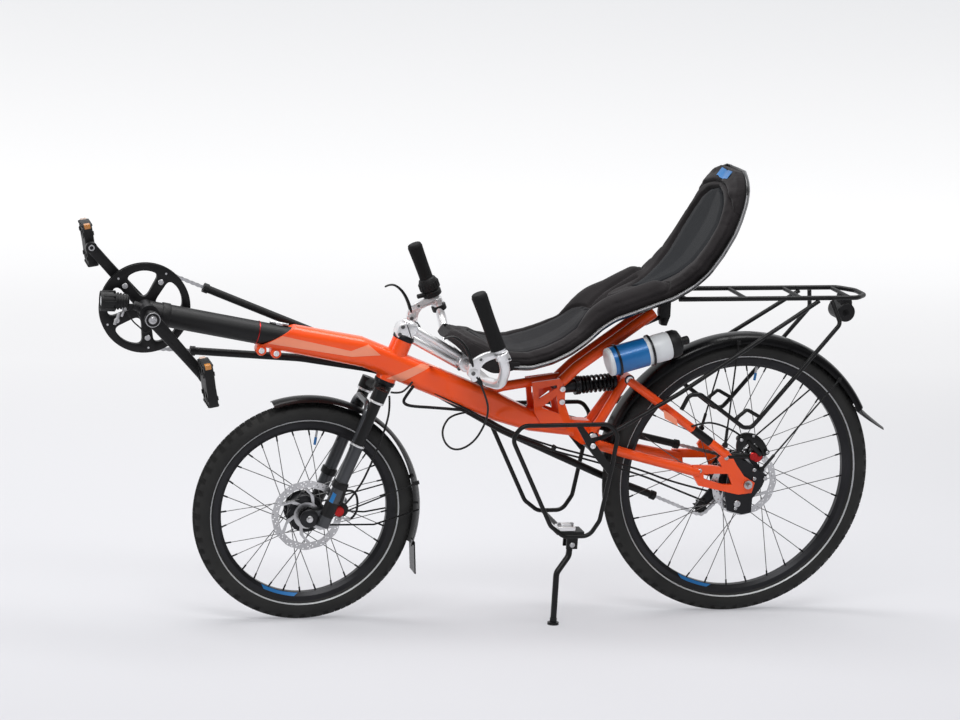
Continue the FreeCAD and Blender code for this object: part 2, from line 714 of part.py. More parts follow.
def stem():
    """Bearing cover, steerer clamp and the bar back to the handlebar clamp."""
    cover = rod(steer_point(49.5), steer_point(60), 22)
    clamp = rod(steer_point(60.5), steer_point(92), 20)
    arm = tube([steer_point(78), steer_point(74, 30), BAR + V(-4, 0, 4)], 11.5, 20)
    grip = disc_y(BAR, 17, -25, 25).cut(disc_y(BAR, dim("bar_radius"), -26, 26))
    bore = rod(steer_point(40), steer_point(88), dim("steerer_radius"))
    arm = arm.cut(disc_y(BAR, dim("bar_radius"), -26, 26))
    return node("steering", "stem", fuse([cover, clamp, grip, arm]).cut(bore))


def bar_path(side):
    """Corners of one half of the handlebar, from its middle to the grip's top."""
    span = dim("grip_span")
    return [V(BAR.x, 0, BAR.z), V(BAR.x, side * (span - 96), BAR.z),
            V(364, side * (span - 46), 598), V(362, side * (span - 10), 640),
            grip_low(side), grip_top(side)]


def grip_low(side):
    """Lower end of a grip."""
    return V(343, side * dim("grip_span"), 690)


def grip_top(side):
    """Upper end of a grip."""
    return grip_low(side) + V(-0.42, 0, 0.907) * dim("grip_length")


def handlebar():
    """Bent handlebar, its grips and the brake levers."""
    right, left = bar_path(1), bar_path(-1)
    bar = tube(list(reversed(left[:-1])) + right[1:-1], dim("bar_radius"), 45)
    inner = [rod(grip_low(s), grip_low(s) + (grip_top(s) - grip_low(s)) * 0.9, dim("bar_radius"))
             for s in (-1, 1)]
    node("steering", "handlebar", fuse([bar] + inner))
    grips = []
    for s in (-1, 1):
        up = (grip_top(s) - grip_low(s)).normalize()
        handle = rod(grip_low(s) + up, grip_top(s), dim("grip_radius"))
        core = rod(grip_low(s) - up * 5, grip_top(s) - up * 8, dim("bar_radius"))
        grips.append(handle.cut(core))
    node("steering", "grips", Part.makeCompound(grips))
    levers = []
    perch = [(355, 684), (358, 671), (318, 660), (306, 650), (303, 622), (290, 616), (278, 644),
             (287, 662), (316, 677)]
    for s in (-1, 1):
        span = s * dim("grip_span")
        inboard = span - s * 9
        collar = rod(V(353.3, span, 663), V(346.5, span, 681), 15)
        body = plate(perch, inboard - 5, inboard + 5)
        blade = tube([V(287, inboard, 651), V(275, inboard, 682), V(249, inboard, 712),
                      V(226, inboard, 709)], 4.2, 22)
        outlet = rod(V(291, inboard, 634), V(307, inboard, 612), 6)
        levers.append(fuse([collar, body, outlet, blade]).cut(bar))
    node("steering", "brake_levers", Part.makeCompound(levers))


def fender(axle, tyre_radius, low_turn, high_turn):
    """Curved guard round a tyre between two angles."""
    radius = tyre_radius + dim("fender_gap")
    half = dim("fender_width") / 2
    thick = 2.0
    crown = 9.0
    outer = [V(radius - crown, -half, 0), V(radius, 0, 0), V(radius - crown, half, 0)]
    inner = [V(radius - crown, half - thick, 0), V(radius - thick, 0, 0),
             V(radius - crown, thick - half, 0)]
    edges = [Part.Arc(*outer).toShape(), Part.LineSegment(outer[2], inner[0]).toShape(),
             Part.Arc(*inner).toShape(), Part.LineSegment(inner[2], outer[0]).toShape()]
    face = Part.Face(Part.Wire(edges))
    guard = face.revolve(V(0, 0, 0), V(0, -1, 0), high_turn - low_turn)
    guard.rotate(V(0, 0, 0), V(0, -1, 0), low_turn)
    guard.translate(V(axle.x, 0, axle.z))
    return guard


def fenders():
    """Both mudguards, each with its flap and wire stays."""
    radius = dim("front_tyre_radius") + dim("fender_gap")
    guard = fender(FRONT_AXLE, dim("front_tyre_radius"), -17.5, 109)
    flap_top = polar(FRONT_AXLE, radius - 3, -15)
    flap = plate([(flap_top.x - 2, flap_top.z), (flap_top.x + 1, flap_top.z),
                  (flap_top.x + 8, flap_top.z - 76), (flap_top.x + 5, flap_top.z - 76)], -24, 24)
    stays = []
    hub_half = dim("front_hub_width") / 2
    for side in (-1, 1):
        low = steer_point(-390, -LEG_LEAD + 10, side * (hub_half + 10))
        stays.append(tube([low, V(150, side * 50, 232), polar(FRONT_AXLE, radius - 8, 2, side * 27)],
                          2, 20))
    whole = coped(fuse([guard, flap] + stays), shape_of("fork_lowers"))
    node("steering", "front_fender", whole)
    radius = dim("rear_tyre_radius") + dim("fender_gap")
    guard = fender(REAR_AXLE, dim("rear_tyre_radius"), 30, 172)
    tip = polar(REAR_AXLE, radius - 3, 31)
    flap = plate([(tip.x, tip.z + 1), (tip.x + 1, tip.z - 3), (tip.x + 68, tip.z - 50),
                  (tip.x + 68, tip.z - 46)], -26, 26)
    node("frame", "rear_fender", fuse([guard, flap]))


def brakes():
    """Calipers on the fork and on the left dropout, each slotted for its disc."""
    gap = dim("disc_thickness") / 2 + dim("running_gap")
    front = polar(FRONT_AXLE, 68, 14)
    block = rod(V(front.x, FRONT_DISC_Y - 22, front.z), V(front.x, FRONT_DISC_Y + 7, front.z), 15)
    slot = disc_y(FRONT_AXLE, dim("disc_diameter") / 2 + 3, FRONT_DISC_Y - gap, FRONT_DISC_Y + gap)
    knob = disc_y(front, 9, FRONT_DISC_Y - 30, FRONT_DISC_Y - 21)
    arm = rod(V(front.x, FRONT_DISC_Y - 16, front.z), steer_point(-300, -LEG_LEAD + 10, -60), 6)
    caliper = coped(fuse([block, knob, arm]), slot, shape_of("fork_lowers"))
    node("steering", "front_brake_caliper", caliper)
    back = polar(REAR_AXLE, 68, 76)
    block = rod(V(back.x, REAR_DISC_Y - 22, back.z), V(back.x, REAR_DISC_Y + 7, back.z), 15)
    slot = disc_y(REAR_AXLE, dim("disc_diameter") / 2 + 3, REAR_DISC_Y - gap, REAR_DISC_Y + gap)
    knob = disc_y(back, 9, REAR_DISC_Y - 30, REAR_DISC_Y - 21)
    arm = rod(V(back.x, REAR_DISC_Y - 18, back.z), rear(968, REAR_DISC_Y - 18, 392), 6)
    cover = [(990, 442), (1006, 446), (1050, 428), (1064, 404), (1058, 382), (1036, 374), (1000, 396)]
    cover = plate([(x + REAR_SHIFT, z) for x, z in cover], REAR_DISC_Y - 24, REAR_DISC_Y - 4)
    caliper = coped(fuse([block, knob, arm, cover]), slot, shape_of("dropouts"),
                    shape_of("seatstays"))
    node("frame", "rear_brake_caliper", caliper)
    outline = [(985, 392), (1036, 370), (1072, 346), (1062, 318), (1041, 290), (1041, 256),
               (1018, 252), (982, 261), (972, 300), (976, 350)]
    outer = -dim("rear_hub_width") / 2
    anchor = plate([(x + REAR_SHIFT, z) for x, z in outline], outer + 0.5, outer + 4.5)
    anchor = coped(anchor, disc_y(REAR_AXLE, dim("axle_radius"), outer, outer + 5),
                   shape_of("chainstays"), shape_of("seatstays"), caliper)
    node("frame", "torque_plate", anchor)


# --- Drive ----------------------------------------------------------------------------------
def crank_end(side):
    """Middle of a crank's outer end; the left one is side -1."""
    down = math.radians(dim("crank_turn"))
    reach = dim("crank_length")
    turn_x, turn_z = math.cos(down) * reach, -math.sin(down) * reach
    return V(CRANK_AXLE.x - side * turn_x, side * dim("crank_half_span"), CRANK_AXLE.z - side * turn_z)


def cranks():
    """Chainring with guard, crank arms and spindle."""
    ring_y = dim("chain_line")
    design = toothed_ring("cranks", "chainring", CRANK_AXLE, RING_PITCH,
                          int(dim("chainring_teeth")), 16, 0)
    window = sketch(design, "XZ_Plane", "chainring_window")
    outer, inner = RING_PITCH - 20, 30
    corners = [polar(V(0, 0, 0), r, a) for r, a in ((outer, 10), (outer, 62), (inner, 52), (inner, 20))]
    flat = [V(p.x, p.z, 0) for p in corners]
    arc = polar(V(0, 0, 0), outer, 36)
    window.addGeometry(Part.Arc(flat[0], V(arc.x, arc.z, 0), flat[1]), False)
    for start, end in zip(flat[1:], flat[2:] + flat[:1]):
        window.addGeometry(Part.LineSegment(start, end), False)
    repeat_round(design, pocket_through(design, window), "5")
    guard = disc_y(CRANK_AXLE, RING_PITCH + 11, ring_y + 5, ring_y + 7)
    guard = guard.cut(disc_y(CRANK_AXLE, RING_PITCH - 16, ring_y + 4, ring_y + 8))
    links = [disc_y(polar(CRANK_AXLE, RING_PITCH - 13, a), 4, ring_y + 1.5, ring_y + 5.5)
             for a in range(0, 360, 72)]
    node("cranks", "chain_guard", fuse([guard] + links))
    for side, label in ((-1, "left_crank"), (1, "right_crank")):
        end = crank_end(side)
        mid = side * dim("crank_half_span")
        hub_place = V(CRANK_AXLE.x, 0, CRANK_AXLE.z)
        boss = disc_y(hub_place, 17, mid - 9, mid + 9)
        eye = disc_y(end, 13, mid - 7, mid + 7)
        along = V(end.x - hub_place.x, 0, end.z - hub_place.z).normalize()
        across = V(-along.z, 0, along.x)
        near, far = V(hub_place.x, 0, hub_place.z), V(end.x, 0, end.z)
        outline = [near + across * 15, far + across * 11, far - across * 11, near - across * 15]
        arm = plate([(p.x, p.z) for p in outline], mid - 6.5, mid + 6.5)
        pieces = [boss, eye, arm]
        if side > 0:
            pieces.append(disc_y(hub_place, 12, -dim("crank_half_span") + 9, mid))
            pieces.append(disc_y(hub_place, 16, ring_y - 1.5, mid))
        solid = fuse(pieces).cut(disc_y(end, 7.3, mid - 12, mid + 12))
        node("cranks", label, solid)


def pedals():
    """Platform pedals on their axles, hanging nearly upright with the feet off them."""
    for side, label, body in ((-1, "left_pedal", "pedal_left"), (1, "right_pedal", "pedal_right")):
        end = crank_end(side)
        inner = dim("crank_half_span") - 6
        near = dim("crank_half_span") + 12
        far = near + dim("pedal_width")
        axle = disc_y(end, 7, min(side * inner, side * (far - 8)), max(side * inner, side * (far - 8)))
        half, thick = dim("pedal_length") / 2, 12
        cage = Part.makeBox(thick * 2, dim("pedal_width"), half * 2, V(-thick, 0, -half))
        for z in (-1, 1):
            hole = Part.makeBox(thick * 2 + 2, dim("pedal_width") - 24, half - 24,
                                V(-thick - 1, 12, z * (half + 8) / 2 - (half - 24) / 2))
            cage = cage.cut(hole)
        cage.rotate(V(0, 0, 0), RIGHT, -11)
        cage.translate(V(end.x, side * near if side > 0 else -far, end.z))
        node(body, label, fuse([cage, axle]))


IDLER = V(400, 45, 529)
IDLER_RADIUS = 28.0
TENSIONER = V(958, 45, 240)
TENSIONER_RADIUS = 20.0
GUIDE_RADIUS = 8.5
GUIDE_BORE = 6.0


def tangent_between(centre_a, radius_a, centre_b, radius_b):
    """Contact points of a straight run; a radius is positive where the run passes over its wheel."""
    dx, dz = centre_b.x - centre_a.x, centre_b.z - centre_a.z
    span = math.hypot(dx, dz)
    along = math.atan2(dz, dx)
    swing = math.acos((radius_a - radius_b) / span)
    turn_to = along + swing
    unit = V(math.cos(turn_to), 0, math.sin(turn_to))
    y = V(0, dim("chain_line"), 0)
    first = V(centre_a.x, 0, centre_a.z) + unit * radius_a + y
    last = V(centre_b.x, 0, centre_b.z) + unit * radius_b + y
    return first, last


def band(edges):
    """Chain: a flat band swept along edges that lie in the chain's plane."""
    path = Part.Wire(edges)
    start = path.Vertexes[0].Point
    first = edges[0]
    tangent = first.tangentAt(first.FirstParameter)
    start = first.valueAt(first.FirstParameter)
    out = tangent.cross(RIGHT).normalize() * (dim("chain_height") / 2)
    wide = RIGHT * (dim("chain_width") / 2)
    corners = [start + out + wide, start + out - wide, start - out - wide, start - out + wide]
    section = Part.Face(Part.makePolygon(corners + corners[:1]))
    return path.makePipe(section)


def wrap(centre, radius, from_point, to_point, clockwise_mid):
    """Arc of chain round a wheel between two contact points by way of an angle."""
    middle = polar(centre, radius, clockwise_mid, dim("chain_line"))
    return Part.Arc(from_point, middle, to_point).toShape()


def drive():
    """Chain, its guide tubes, the idler beside the main tube and the tensioner behind."""
    y = dim("chain_line")
    sprocket, tension = REAR_AXLE, TENSIONER + V(REAR_SHIFT, 0, 0)
    top_front, idler_in = tangent_between(CRANK_AXLE, RING_PITCH, IDLER, -IDLER_RADIUS)
    idler_out, sprocket_in = tangent_between(IDLER, -IDLER_RADIUS, sprocket, SPROCKET_PITCH)
    low_tube = [V(-264, y, 604), V(-18, y, 590), V(142, y, 567), V(250, y, 538),
                V(459, y, 425), V(712, y, 315), rear(842, y, 266)]
    ring_low = tangent_between(CRANK_AXLE, -RING_PITCH, low_tube[0], 0)[0]
    pulley_low = tangent_between(low_tube[-1], 0, tension, -TENSIONER_RADIUS)[1]
    sprocket_out, pulley_in = tangent_between(sprocket, SPROCKET_PITCH, tension, TENSIONER_RADIUS)

    def run(start, end):
        return Part.LineSegment(start, end).toShape()

    def between(start, end, share):
        return start + (end - start) * share

    inside = 12.0                             # chain that shows the way into each tube's mouth
    upper_tube = [between(top_front, idler_in, 0.13), between(top_front, idler_in, 0.95)]
    rear_tube = [between(idler_out, sprocket_in, 0.08), between(idler_out, sprocket_in, 0.78)]
    pipes = []
    for route in (upper_tube, rear_tube, low_tube):
        ends = [(route[0], route[1]), (route[-1], route[-2])]
        flares = [rod(end, end + (inner - end).normalize() * 11, GUIDE_RADIUS + 2.2)
                  for end, inner in ends]
        pipes.append(coped(fuse([tube(route, GUIDE_RADIUS, 300)] + flares),
                           tube(route, GUIDE_BORE, 300)))
    node("frame", "chain_tubes", Part.makeCompound(pipes))

    def into(mouth, next_point):
        return mouth + (next_point - mouth).normalize() * inside

    ring_band = band([run(into(*upper_tube), top_front),
                      wrap(CRANK_AXLE, RING_PITCH, top_front, ring_low, 175),
                      run(ring_low, into(low_tube[0], low_tube[1]))])
    idler_band = band([run(into(upper_tube[1], upper_tube[0]), idler_in),
                       wrap(IDLER, IDLER_RADIUS, idler_in, idler_out, -107),
                       run(idler_out, into(*rear_tube))])
    rear_band = band([run(into(rear_tube[1], rear_tube[0]), sprocket_in),
                      wrap(sprocket, SPROCKET_PITCH, sprocket_in, sprocket_out, 17),
                      run(sprocket_out, pulley_in),
                      wrap(tension, TENSIONER_RADIUS, pulley_in, pulley_low, -78),
                      run(pulley_low, into(low_tube[-1], low_tube[-2]))])
    node("frame", "chain", Part.makeCompound([ring_band, idler_band, rear_band]))
    idler_wheel = disc_y(IDLER, IDLER_RADIUS - dim("chain_height") / 2 - 0.5, y - 4, y + 4)
    idler_bolt = disc_y(IDLER, 6, 20, y + 9)
    idler = coped(fuse([idler_wheel, idler_bolt]), shape_of("main_frame"))
    node("frame", "chain_idler", idler)
    pulley = disc_y(tension, TENSIONER_RADIUS - dim("chain_height") / 2 - 0.5, y - 3, y + 3)
    cage = plate([(tension.x - 14, tension.z - 8), (tension.x + 10, tension.z - 14),
                  (REAR_AXLE.x - 8, REAR_AXLE.z - 38), (REAR_AXLE.x - 28, REAR_AXLE.z - 26)],
                 y + 5, y + 8)
    pin = disc_y(tension, 4, y - 3, y + 8)
    bracket = disc_y(V(REAR_AXLE.x - 18, 0, REAR_AXLE.z - 33), 7, y + 5, dim("rear_hub_width") / 2)
    box = plate([(sprocket.x - 42, 272), (sprocket.x, 272), (sprocket.x + 4, 238),
                 (sprocket.x - 40, 246)], y + 7, y + 22)
    tensioner = coped(fuse([pulley, cage, pin, bracket, box]), shape_of("dropouts"))
    node("frame", "chain_tensioner", tensioner)


def rear_axle():
    """Axle with its nuts and the plate that takes the hub's torque."""
    half = dim("rear_hub_width") / 2
    pin = disc_y(REAR_AXLE, dim("axle_radius"), -half - 26, half + 16)
    nuts = [disc_y(REAR_AXLE, 10, half + 8, half + 15), disc_y(REAR_AXLE, 10, -half - 14, -half - 8)]
    node("frame", "rear_axle", fuse([pin] + nuts))


# --- Carriers -------------------------------------------------------------------------------
def rack():
    """Rear rack: platform, struts down to the frame and two pannier loops."""
    half, r = dim("rack_half_width"), dim("rack_tube_radius")
    level = 760
    front, back = 822, 1288
    loop = [V(front, -half, level - 4), rear(back - 32, -half, level + 6),
            rear(back, -half + 34, level + 6), rear(back, half - 34, level + 6),
            rear(back - 32, half, level + 6), V(front, half, level - 4)]
    rails = tube(loop, r + 0.5, 24)
    bars = [rod(V(x, -half, level + rise), V(x, half, level + rise), r - 0.5)
            for x, rise in ((840, -4), (985, -1), (1120, 2))]
    tail = rod(rear(1240, -half, level + 5), rear(1240, half, level + 5), r - 0.5)
    platform = fuse([rails, tail] + bars)
    node("frame", "rack_platform", platform)
    struts = []
    for side in (-1, 1):
        struts.append(tube([rear(1162, side * half, level - 3), V(837, side * 76, 542),
                            V(664, side * 78, 440), V(640, side * 60, 428)], r, 60))
    node("frame", "rack_struts", Part.makeCompound([coped(s, platform) for s in struts]))
    loops = []
    for side in (-1, 1):
        path = [rear(1190, side * (half + 7), level - 1), rear(1206, side * 92, 711),
                rear(1029, side * 95, 489), rear(1010, side * 95, 467), rear(991, side * 95, 467),
                rear(969, side * 95, 482), rear(880, side * 95, 544), rear(853, side * 95, 543),
                rear(837, side * 95, 508)]
        loops.append(tube(path, r, 16))
    node("frame", "pannier_loops", Part.makeCompound([coped(loop, platform) for loop in loops]))
    lamp = fuse([disc_y(rear(1246, 0, 724), 22, -30, 30)])
    stalk = rod(rear(1243, 0, 740), rear(1240, 0, level + 4), 5)
    node("frame", "tail_light", coped(fuse([lamp, stalk]), platform))


def low_rider():
    """Luggage loops under the seat, the cross bars between them and the stand's plate."""
    span, r = dim("low_rider_half_span"), dim("rack_tube_radius")
    # corners of a loop: x, z
    loop = [(462, 473), (667, 477), (687, 450), (679, 377), (660, 252), (638, 216), (578, 215),
            (545, 240), (440, 444), (462, 473)]
    for side, label in ((-1, "low_rider_left"), (1, "low_rider_right")):
        points = [V(x, side * span, z) for x, z in loop]
        start = (points[0] + points[1]) * 0.5
        ring = [start] + points[1:-1] + [points[0], start + V(-1, 0, 0)]
        node("frame", label, fuse([tube(ring, r, 28)]))
    outline = [(585, 476), (600, 476), (640, 426), (682, 374), (670, 362), (624, 414)]
    straps = [plate(outline, -span - 2, -span + 2), plate(outline, span - 2, span + 2)]
    cross = [rod(V(646, -span, 404), V(646, span, 404), 5), rod(V(590, -span, 215), V(590, span, 215), 5)]
    bracket = plate([(562, 219), (626, 219), (626, 226), (562, 226)], -span, -span + 42)
    ear_outline = [(588, 222), (614, 222), (614, 184), (588, 184)]
    ears = [plate(ear_outline, STAND_PIN.y + y, STAND_PIN.y + y + 4) for y in (-15, 11)]
    pin = disc_y(STAND_PIN, 4, STAND_PIN.y - 15, STAND_PIN.y + 15)
    bridge = fuse(straps + cross + [bracket, pin] + ears)
    loops = [shape_of("low_rider_left"), shape_of("low_rider_right")]
    node("frame", "low_rider_bridge", coped(bridge, shape_of("main_frame"), *loops))


STAND_PIN = V(601, -85, 194)


def side_stand():
    """Bent leg with a foot, swinging on a pin under the left loop."""
    foot_y = -119
    lean = math.radians(dim("lean_angle"))
    ground = TYRE_HALF - TYRE_HALF / math.cos(lean) - foot_y * math.tan(lean)
    leg = tube([STAND_PIN, V(598, -90, 165), V(567, -106, 130), V(564, foot_y, ground + 14)], 7, 20)
    foot = Part.makeCylinder(13, 6, V(0, 0, 0), V(0, 0, 1))
    foot.rotate(V(0, 0, 0), V(1, 0, 0), -dim("lean_angle"))
    foot.translate(V(564, foot_y, ground))
    heel = rod(V(564, foot_y, ground + 3), V(564, foot_y, ground + 16), 8)
    boss = disc_y(STAND_PIN, 9, STAND_PIN.y - 10.5, STAND_PIN.y + 10.5)
    bore = disc_y(STAND_PIN, 4.3, STAND_PIN.y - 20, STAND_PIN.y + 20)
    node("stand", "side_stand", fuse([leg, foot, heel, boss]).cut(bore))


def small_parts():
    """Headlight, bottle and its cage."""
    lamp_at = V(-438, 0, 722)
    lamp = Part.makeCone(15, 21, 34, lamp_at + V(30, 0, 0), V(-1, 0, 0))
    rim_ring = Part.makeCylinder(22, 32, lamp_at + V(0, 0, 0), V(-1, 0, 0))
    foot = rod(lamp_at + V(10, 0, -10), V(-392, 0, 710), 4)
    node("frame", "headlight", coped(fuse([lamp, rim_ring, foot]), shape_of("boom")))
    low, high = V(658, -76, 612), V(815, -76, 658)
    axis = V(high.x - low.x, 0, high.z - low.z).normalize()
    bottle = fuse([rod(low, low + axis * 150, dim("bottle_radius")),
                   rod(low + axis * 148, low + axis * 178, dim("bottle_radius") - 1),
                   rod(low + axis * 176, low + axis * 196, 10)])
    node("frame", "bottle", bottle)
    hoop = [rod(low + axis * a, low + axis * (a + 5), dim("bottle_radius") + 3.5).cut(
        rod(low - axis * 5, low + axis * 140, dim("bottle_radius") + 0.5)) for a in (20, 100)]
    spine = rod(low + axis * 10 + V(0, 40, 4), low + axis * 120 + V(0, 40, 4), 3.5)
    node("frame", "bottle_cage", fuse([spine] + hoop))


def cables():
    """Brake hoses and shift cables, from the handlebar's free loop to the rear end."""
    cable = dim("cable_radius")
    loop = [V(309, -271, 610), V(337, -238, 566), V(350, -210, 528), V(350, -180, 490),
            V(342, -150, 452), V(325, -125, 429), V(309, -105, 420), V(293, -90, 428),
            V(286, -75, 446), V(293, -60, 464), V(313, -45, 483), V(346, -36, 486)]
    arc = [V(171, -45, 534), V(193, -45, 533), V(211, -40, 545), V(221, -36, 553)]
    bent = [tube(loop, cable, 40), tube(arc, cable, 15)]
    node("frame", "bar_cables", Part.makeCompound([coped(t, shape_of("main_frame")) for t in bent]))
    pair = tube([V(226, -31, 546), V(210, -31, 523), V(205, -31, 510), V(221, -31, 499),
                 V(276, -31, 496), V(345, -30, 490)], cable * 1.5, 14)
    upper_run = tube([V(277, -22, 527), V(323, -22, 505), V(370, -22, 483), V(425, -22, 452),
                      V(470, -24, 434), V(560, -34, 406), V(640, -44, 388), rear(764, -60, 359),
                      rear(836, -62, 331), rear(930, -62, 308)], cable, 60)
    lower_run = tube([V(352, -30, 483), V(372, -30, 474), V(425, -30, 444), V(470, -32, 426),
                      V(560, -42, 398), V(640, -52, 380), rear(765, -66, 348), rear(838, -68, 318),
                      rear(925, -66, 284)], cable, 60)
    rear_hose = tube([rear(880, -70, 467), rear(905, -76, 473), rear(935, -78, 469),
                      rear(962, -78, 459), rear(988, -74, 445)], cable, 40)
    runs = []
    for run in (pair, upper_run, lower_run, rear_hose):
        solids = [shape_of(n) for n in ("main_frame", "swingarm_front", "chainstays", "seatstays",
                                        "low_rider_bridge", "dropouts", "torque_plate",
                                        "rear_brake_caliper", "bar_cables", "rack_struts")]
        runs.append(coped(run, *solids, *runs))
    node("frame", "frame_cables", Part.makeCompound(runs))
    hose = tube([V(163, -66, 531), V(164, -68, 504), V(156, -72, 462), V(141, -74, 415),
                 V(127, -74, 372), V(104, -70, 320), V(80, -62, 284)], cable, 40)
    hose = coped(hose, shape_of("front_brake_caliper"), shape_of("front_fender"),
                 shape_of("fork_lowers"), shape_of("fork_crown"))
    node("steering", "front_brake_hose", hose)


# --- Build ----------------------------------------------------------------------------------
wheels()
main_frame()
boom()
gusset_plates()
seat_strut()
swingarm()
shock()
seat()
fork()
stem()
handlebar()
fenders()
brakes()
cranks()
pedals()
drive()
rear_axle()
rack()
low_rider()
side_stand()
small_parts()
cables()
doc.recompute()


def park(features):
    """Lean every sub-part on the stand and put the origin under the middle of the box."""
    lean = Rotation(V(1, 0, 0), dim("lean_angle"))
    about = Placement(V(0, 0, 0), lean, V(0, 0, TYRE_HALF))
    for feature in features:
        feature.Placement = about.multiply(feature.Placement)
    doc.recompute()
    box = FreeCAD.BoundBox()
    for feature in features:
        box.add(feature.Shape.optimalBoundingBox(False, False))
    shift = Placement(V(-box.Center.x, -box.Center.y, -box.ZMin), Rotation())
    for feature in features:
        feature.Placement = shift.multiply(feature.Placement)
    doc.recompute()
    print(f"origin moved by {shift.Base}, box {box.XLength:.1f} x {box.YLength:.1f} x {box.ZLength:.1f}")
    return shift


every_node = [feature for group in BODIES.values() for feature in group]
park(every_node)

# --- Check and export -----------------------------------------------------------------------
for item in doc.Objects:
    if "Invalid" in item.State or "Error" in item.State:
        raise ValueError(f"{item.Label} failed: {item.State}")
os.makedirs("parts", exist_ok=True)
for feature in every_node:
    shape = feature.Shape
    if shape.isNull() or not shape.isValid() or shape.Volume <= 0:
        raise ValueError(f"{feature.Label} has no valid shape")
    shape.exportStep(f"parts/{feature.Label}.step")
print(f"{len(every_node)} sub-parts in {len(BODIES)} bodies")
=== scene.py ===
# %% [markdown]
# # A recumbent bicycle, finished in Blender
# The bicycle's hard parts come from CAD as a fixed frame of nodes, each riding on a rigid body such as
# `steering` or `rear_wheel`. This lesson gives every node a finish and swaps the nodes that need finer
# shape (tyres, chain, cushion, spring) for detailed pieces made here.
# Everything is drawn in the upright bicycle's own axes, in millimetres: X runs back from the front axle,
# Y to the rider's right, Z up from the ground. One matrix then leans it over on its stand.

# %% Load the frame
import json
import math
from contextlib import contextmanager

import bpy
import numpy as np
import mathutils
from mathutils import Matrix, Vector

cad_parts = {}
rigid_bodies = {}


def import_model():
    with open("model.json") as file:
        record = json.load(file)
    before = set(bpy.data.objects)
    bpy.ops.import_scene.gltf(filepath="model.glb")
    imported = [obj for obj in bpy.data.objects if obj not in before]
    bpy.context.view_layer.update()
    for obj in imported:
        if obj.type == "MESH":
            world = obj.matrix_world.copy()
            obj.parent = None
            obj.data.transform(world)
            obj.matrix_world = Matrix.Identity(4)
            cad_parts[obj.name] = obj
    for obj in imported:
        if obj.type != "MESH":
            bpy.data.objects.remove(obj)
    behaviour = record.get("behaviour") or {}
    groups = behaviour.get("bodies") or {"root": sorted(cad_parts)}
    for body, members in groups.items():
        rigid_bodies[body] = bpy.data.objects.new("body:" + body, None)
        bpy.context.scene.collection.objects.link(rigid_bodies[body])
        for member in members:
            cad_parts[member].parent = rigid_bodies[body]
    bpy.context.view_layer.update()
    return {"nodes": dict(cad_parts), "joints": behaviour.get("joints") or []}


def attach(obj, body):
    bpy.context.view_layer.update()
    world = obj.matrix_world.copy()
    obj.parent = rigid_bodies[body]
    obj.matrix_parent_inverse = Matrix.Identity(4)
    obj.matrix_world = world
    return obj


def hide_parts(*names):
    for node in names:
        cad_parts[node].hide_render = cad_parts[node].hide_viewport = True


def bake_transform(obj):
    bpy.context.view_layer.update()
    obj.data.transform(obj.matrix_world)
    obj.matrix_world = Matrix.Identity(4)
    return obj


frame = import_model()
nodes = frame["nodes"]

# %% [markdown]
# The record gives each joint's place and axis. The front axle and its direction are enough to find the
# leaning bicycle's axes, so nothing about the lean is guessed here.

# %% Axes of the leaning bicycle
FRONT_RADIUS, REAR_RADIUS, WHEELBASE = 250.0, 326.5, 1022.0
joints = {joint["name"]: joint for joint in frame["joints"]}
front_axle = Vector(joints["front_wheel_spin"]["pos_m"])
right = Vector(joints["front_wheel_spin"]["axis"]).normalized()
back = Vector((1, 0, 0))
up = back.cross(right).normalized()
ground = front_axle - up * (FRONT_RADIUS / 1000)
BIKE = Matrix((back, right, up)).transposed().to_4x4()
BIKE.translation = ground
MILLIMETRES = BIKE @ Matrix.Scale(0.001, 4)
UPRIGHT = MILLIMETRES.inverted()
print("lean", round(math.degrees(math.asin(right.z)), 2), "degrees")

STEER_TILT = math.radians(20.5)
STEER_UP = Vector((math.sin(STEER_TILT), 0, math.cos(STEER_TILT)))
STEER_BACK = Vector((math.cos(STEER_TILT), 0, -math.sin(STEER_TILT)))
HEAD = Vector((185, 0, 598))
FRONT_AXLE = Vector((0, 0, FRONT_RADIUS))
REAR_AXLE = Vector((WHEELBASE, 0, REAR_RADIUS))
CRANK_AXLE = Vector((-367, 0, 699))
RIGHTWARD = Vector((0, 1, 0))
SIDES = ((-1, "left"), (1, "right"))


def steer_point(up_by, back_by=0.0, side=0.0):
    """A point of the fork: along the steering axis, behind it, and to the right."""
    return HEAD + STEER_UP * up_by + STEER_BACK * back_by + Vector((0, side, 0))


def around(centre, radius, degrees, y=0.0):
    """A point on a circle in the bicycle's middle plane; 0 is to the rear, 90 is up."""
    turn = math.radians(degrees)
    return Vector((centre[0] + radius * math.cos(turn), y, centre[2] + radius * math.sin(turn)))


# %% [markdown]
# Blender's operators act on whatever is selected, and loading leaves the CAD nodes selected. Each piece
# therefore starts with a clean selection.

# %% Small helpers for modelling
scene = bpy.context.scene


def alone(obj=None):
    """Leaves nothing selected but this object."""
    for other in list(bpy.context.selected_objects):
        other.select_set(False)
    if obj is not None:
        obj.select_set(True)
        bpy.context.view_layer.objects.active = obj


def fresh(name):
    """Names the primitive that an operator has just added."""
    obj = bpy.context.active_object
    obj.name = name
    obj.data.name = name
    return obj


def new_object(name, data):
    """Puts new mesh, curve, camera or lamp data into the scene as an object."""
    obj = bpy.data.objects.new(name, data)
    scene.collection.objects.link(obj)
    return obj


def new_mesh(name, points, edges, faces):
    """A mesh object made straight from points, edges and faces."""
    mesh = bpy.data.meshes.new(name)
    mesh.from_pydata(points, edges, faces)
    return new_object(name, mesh)


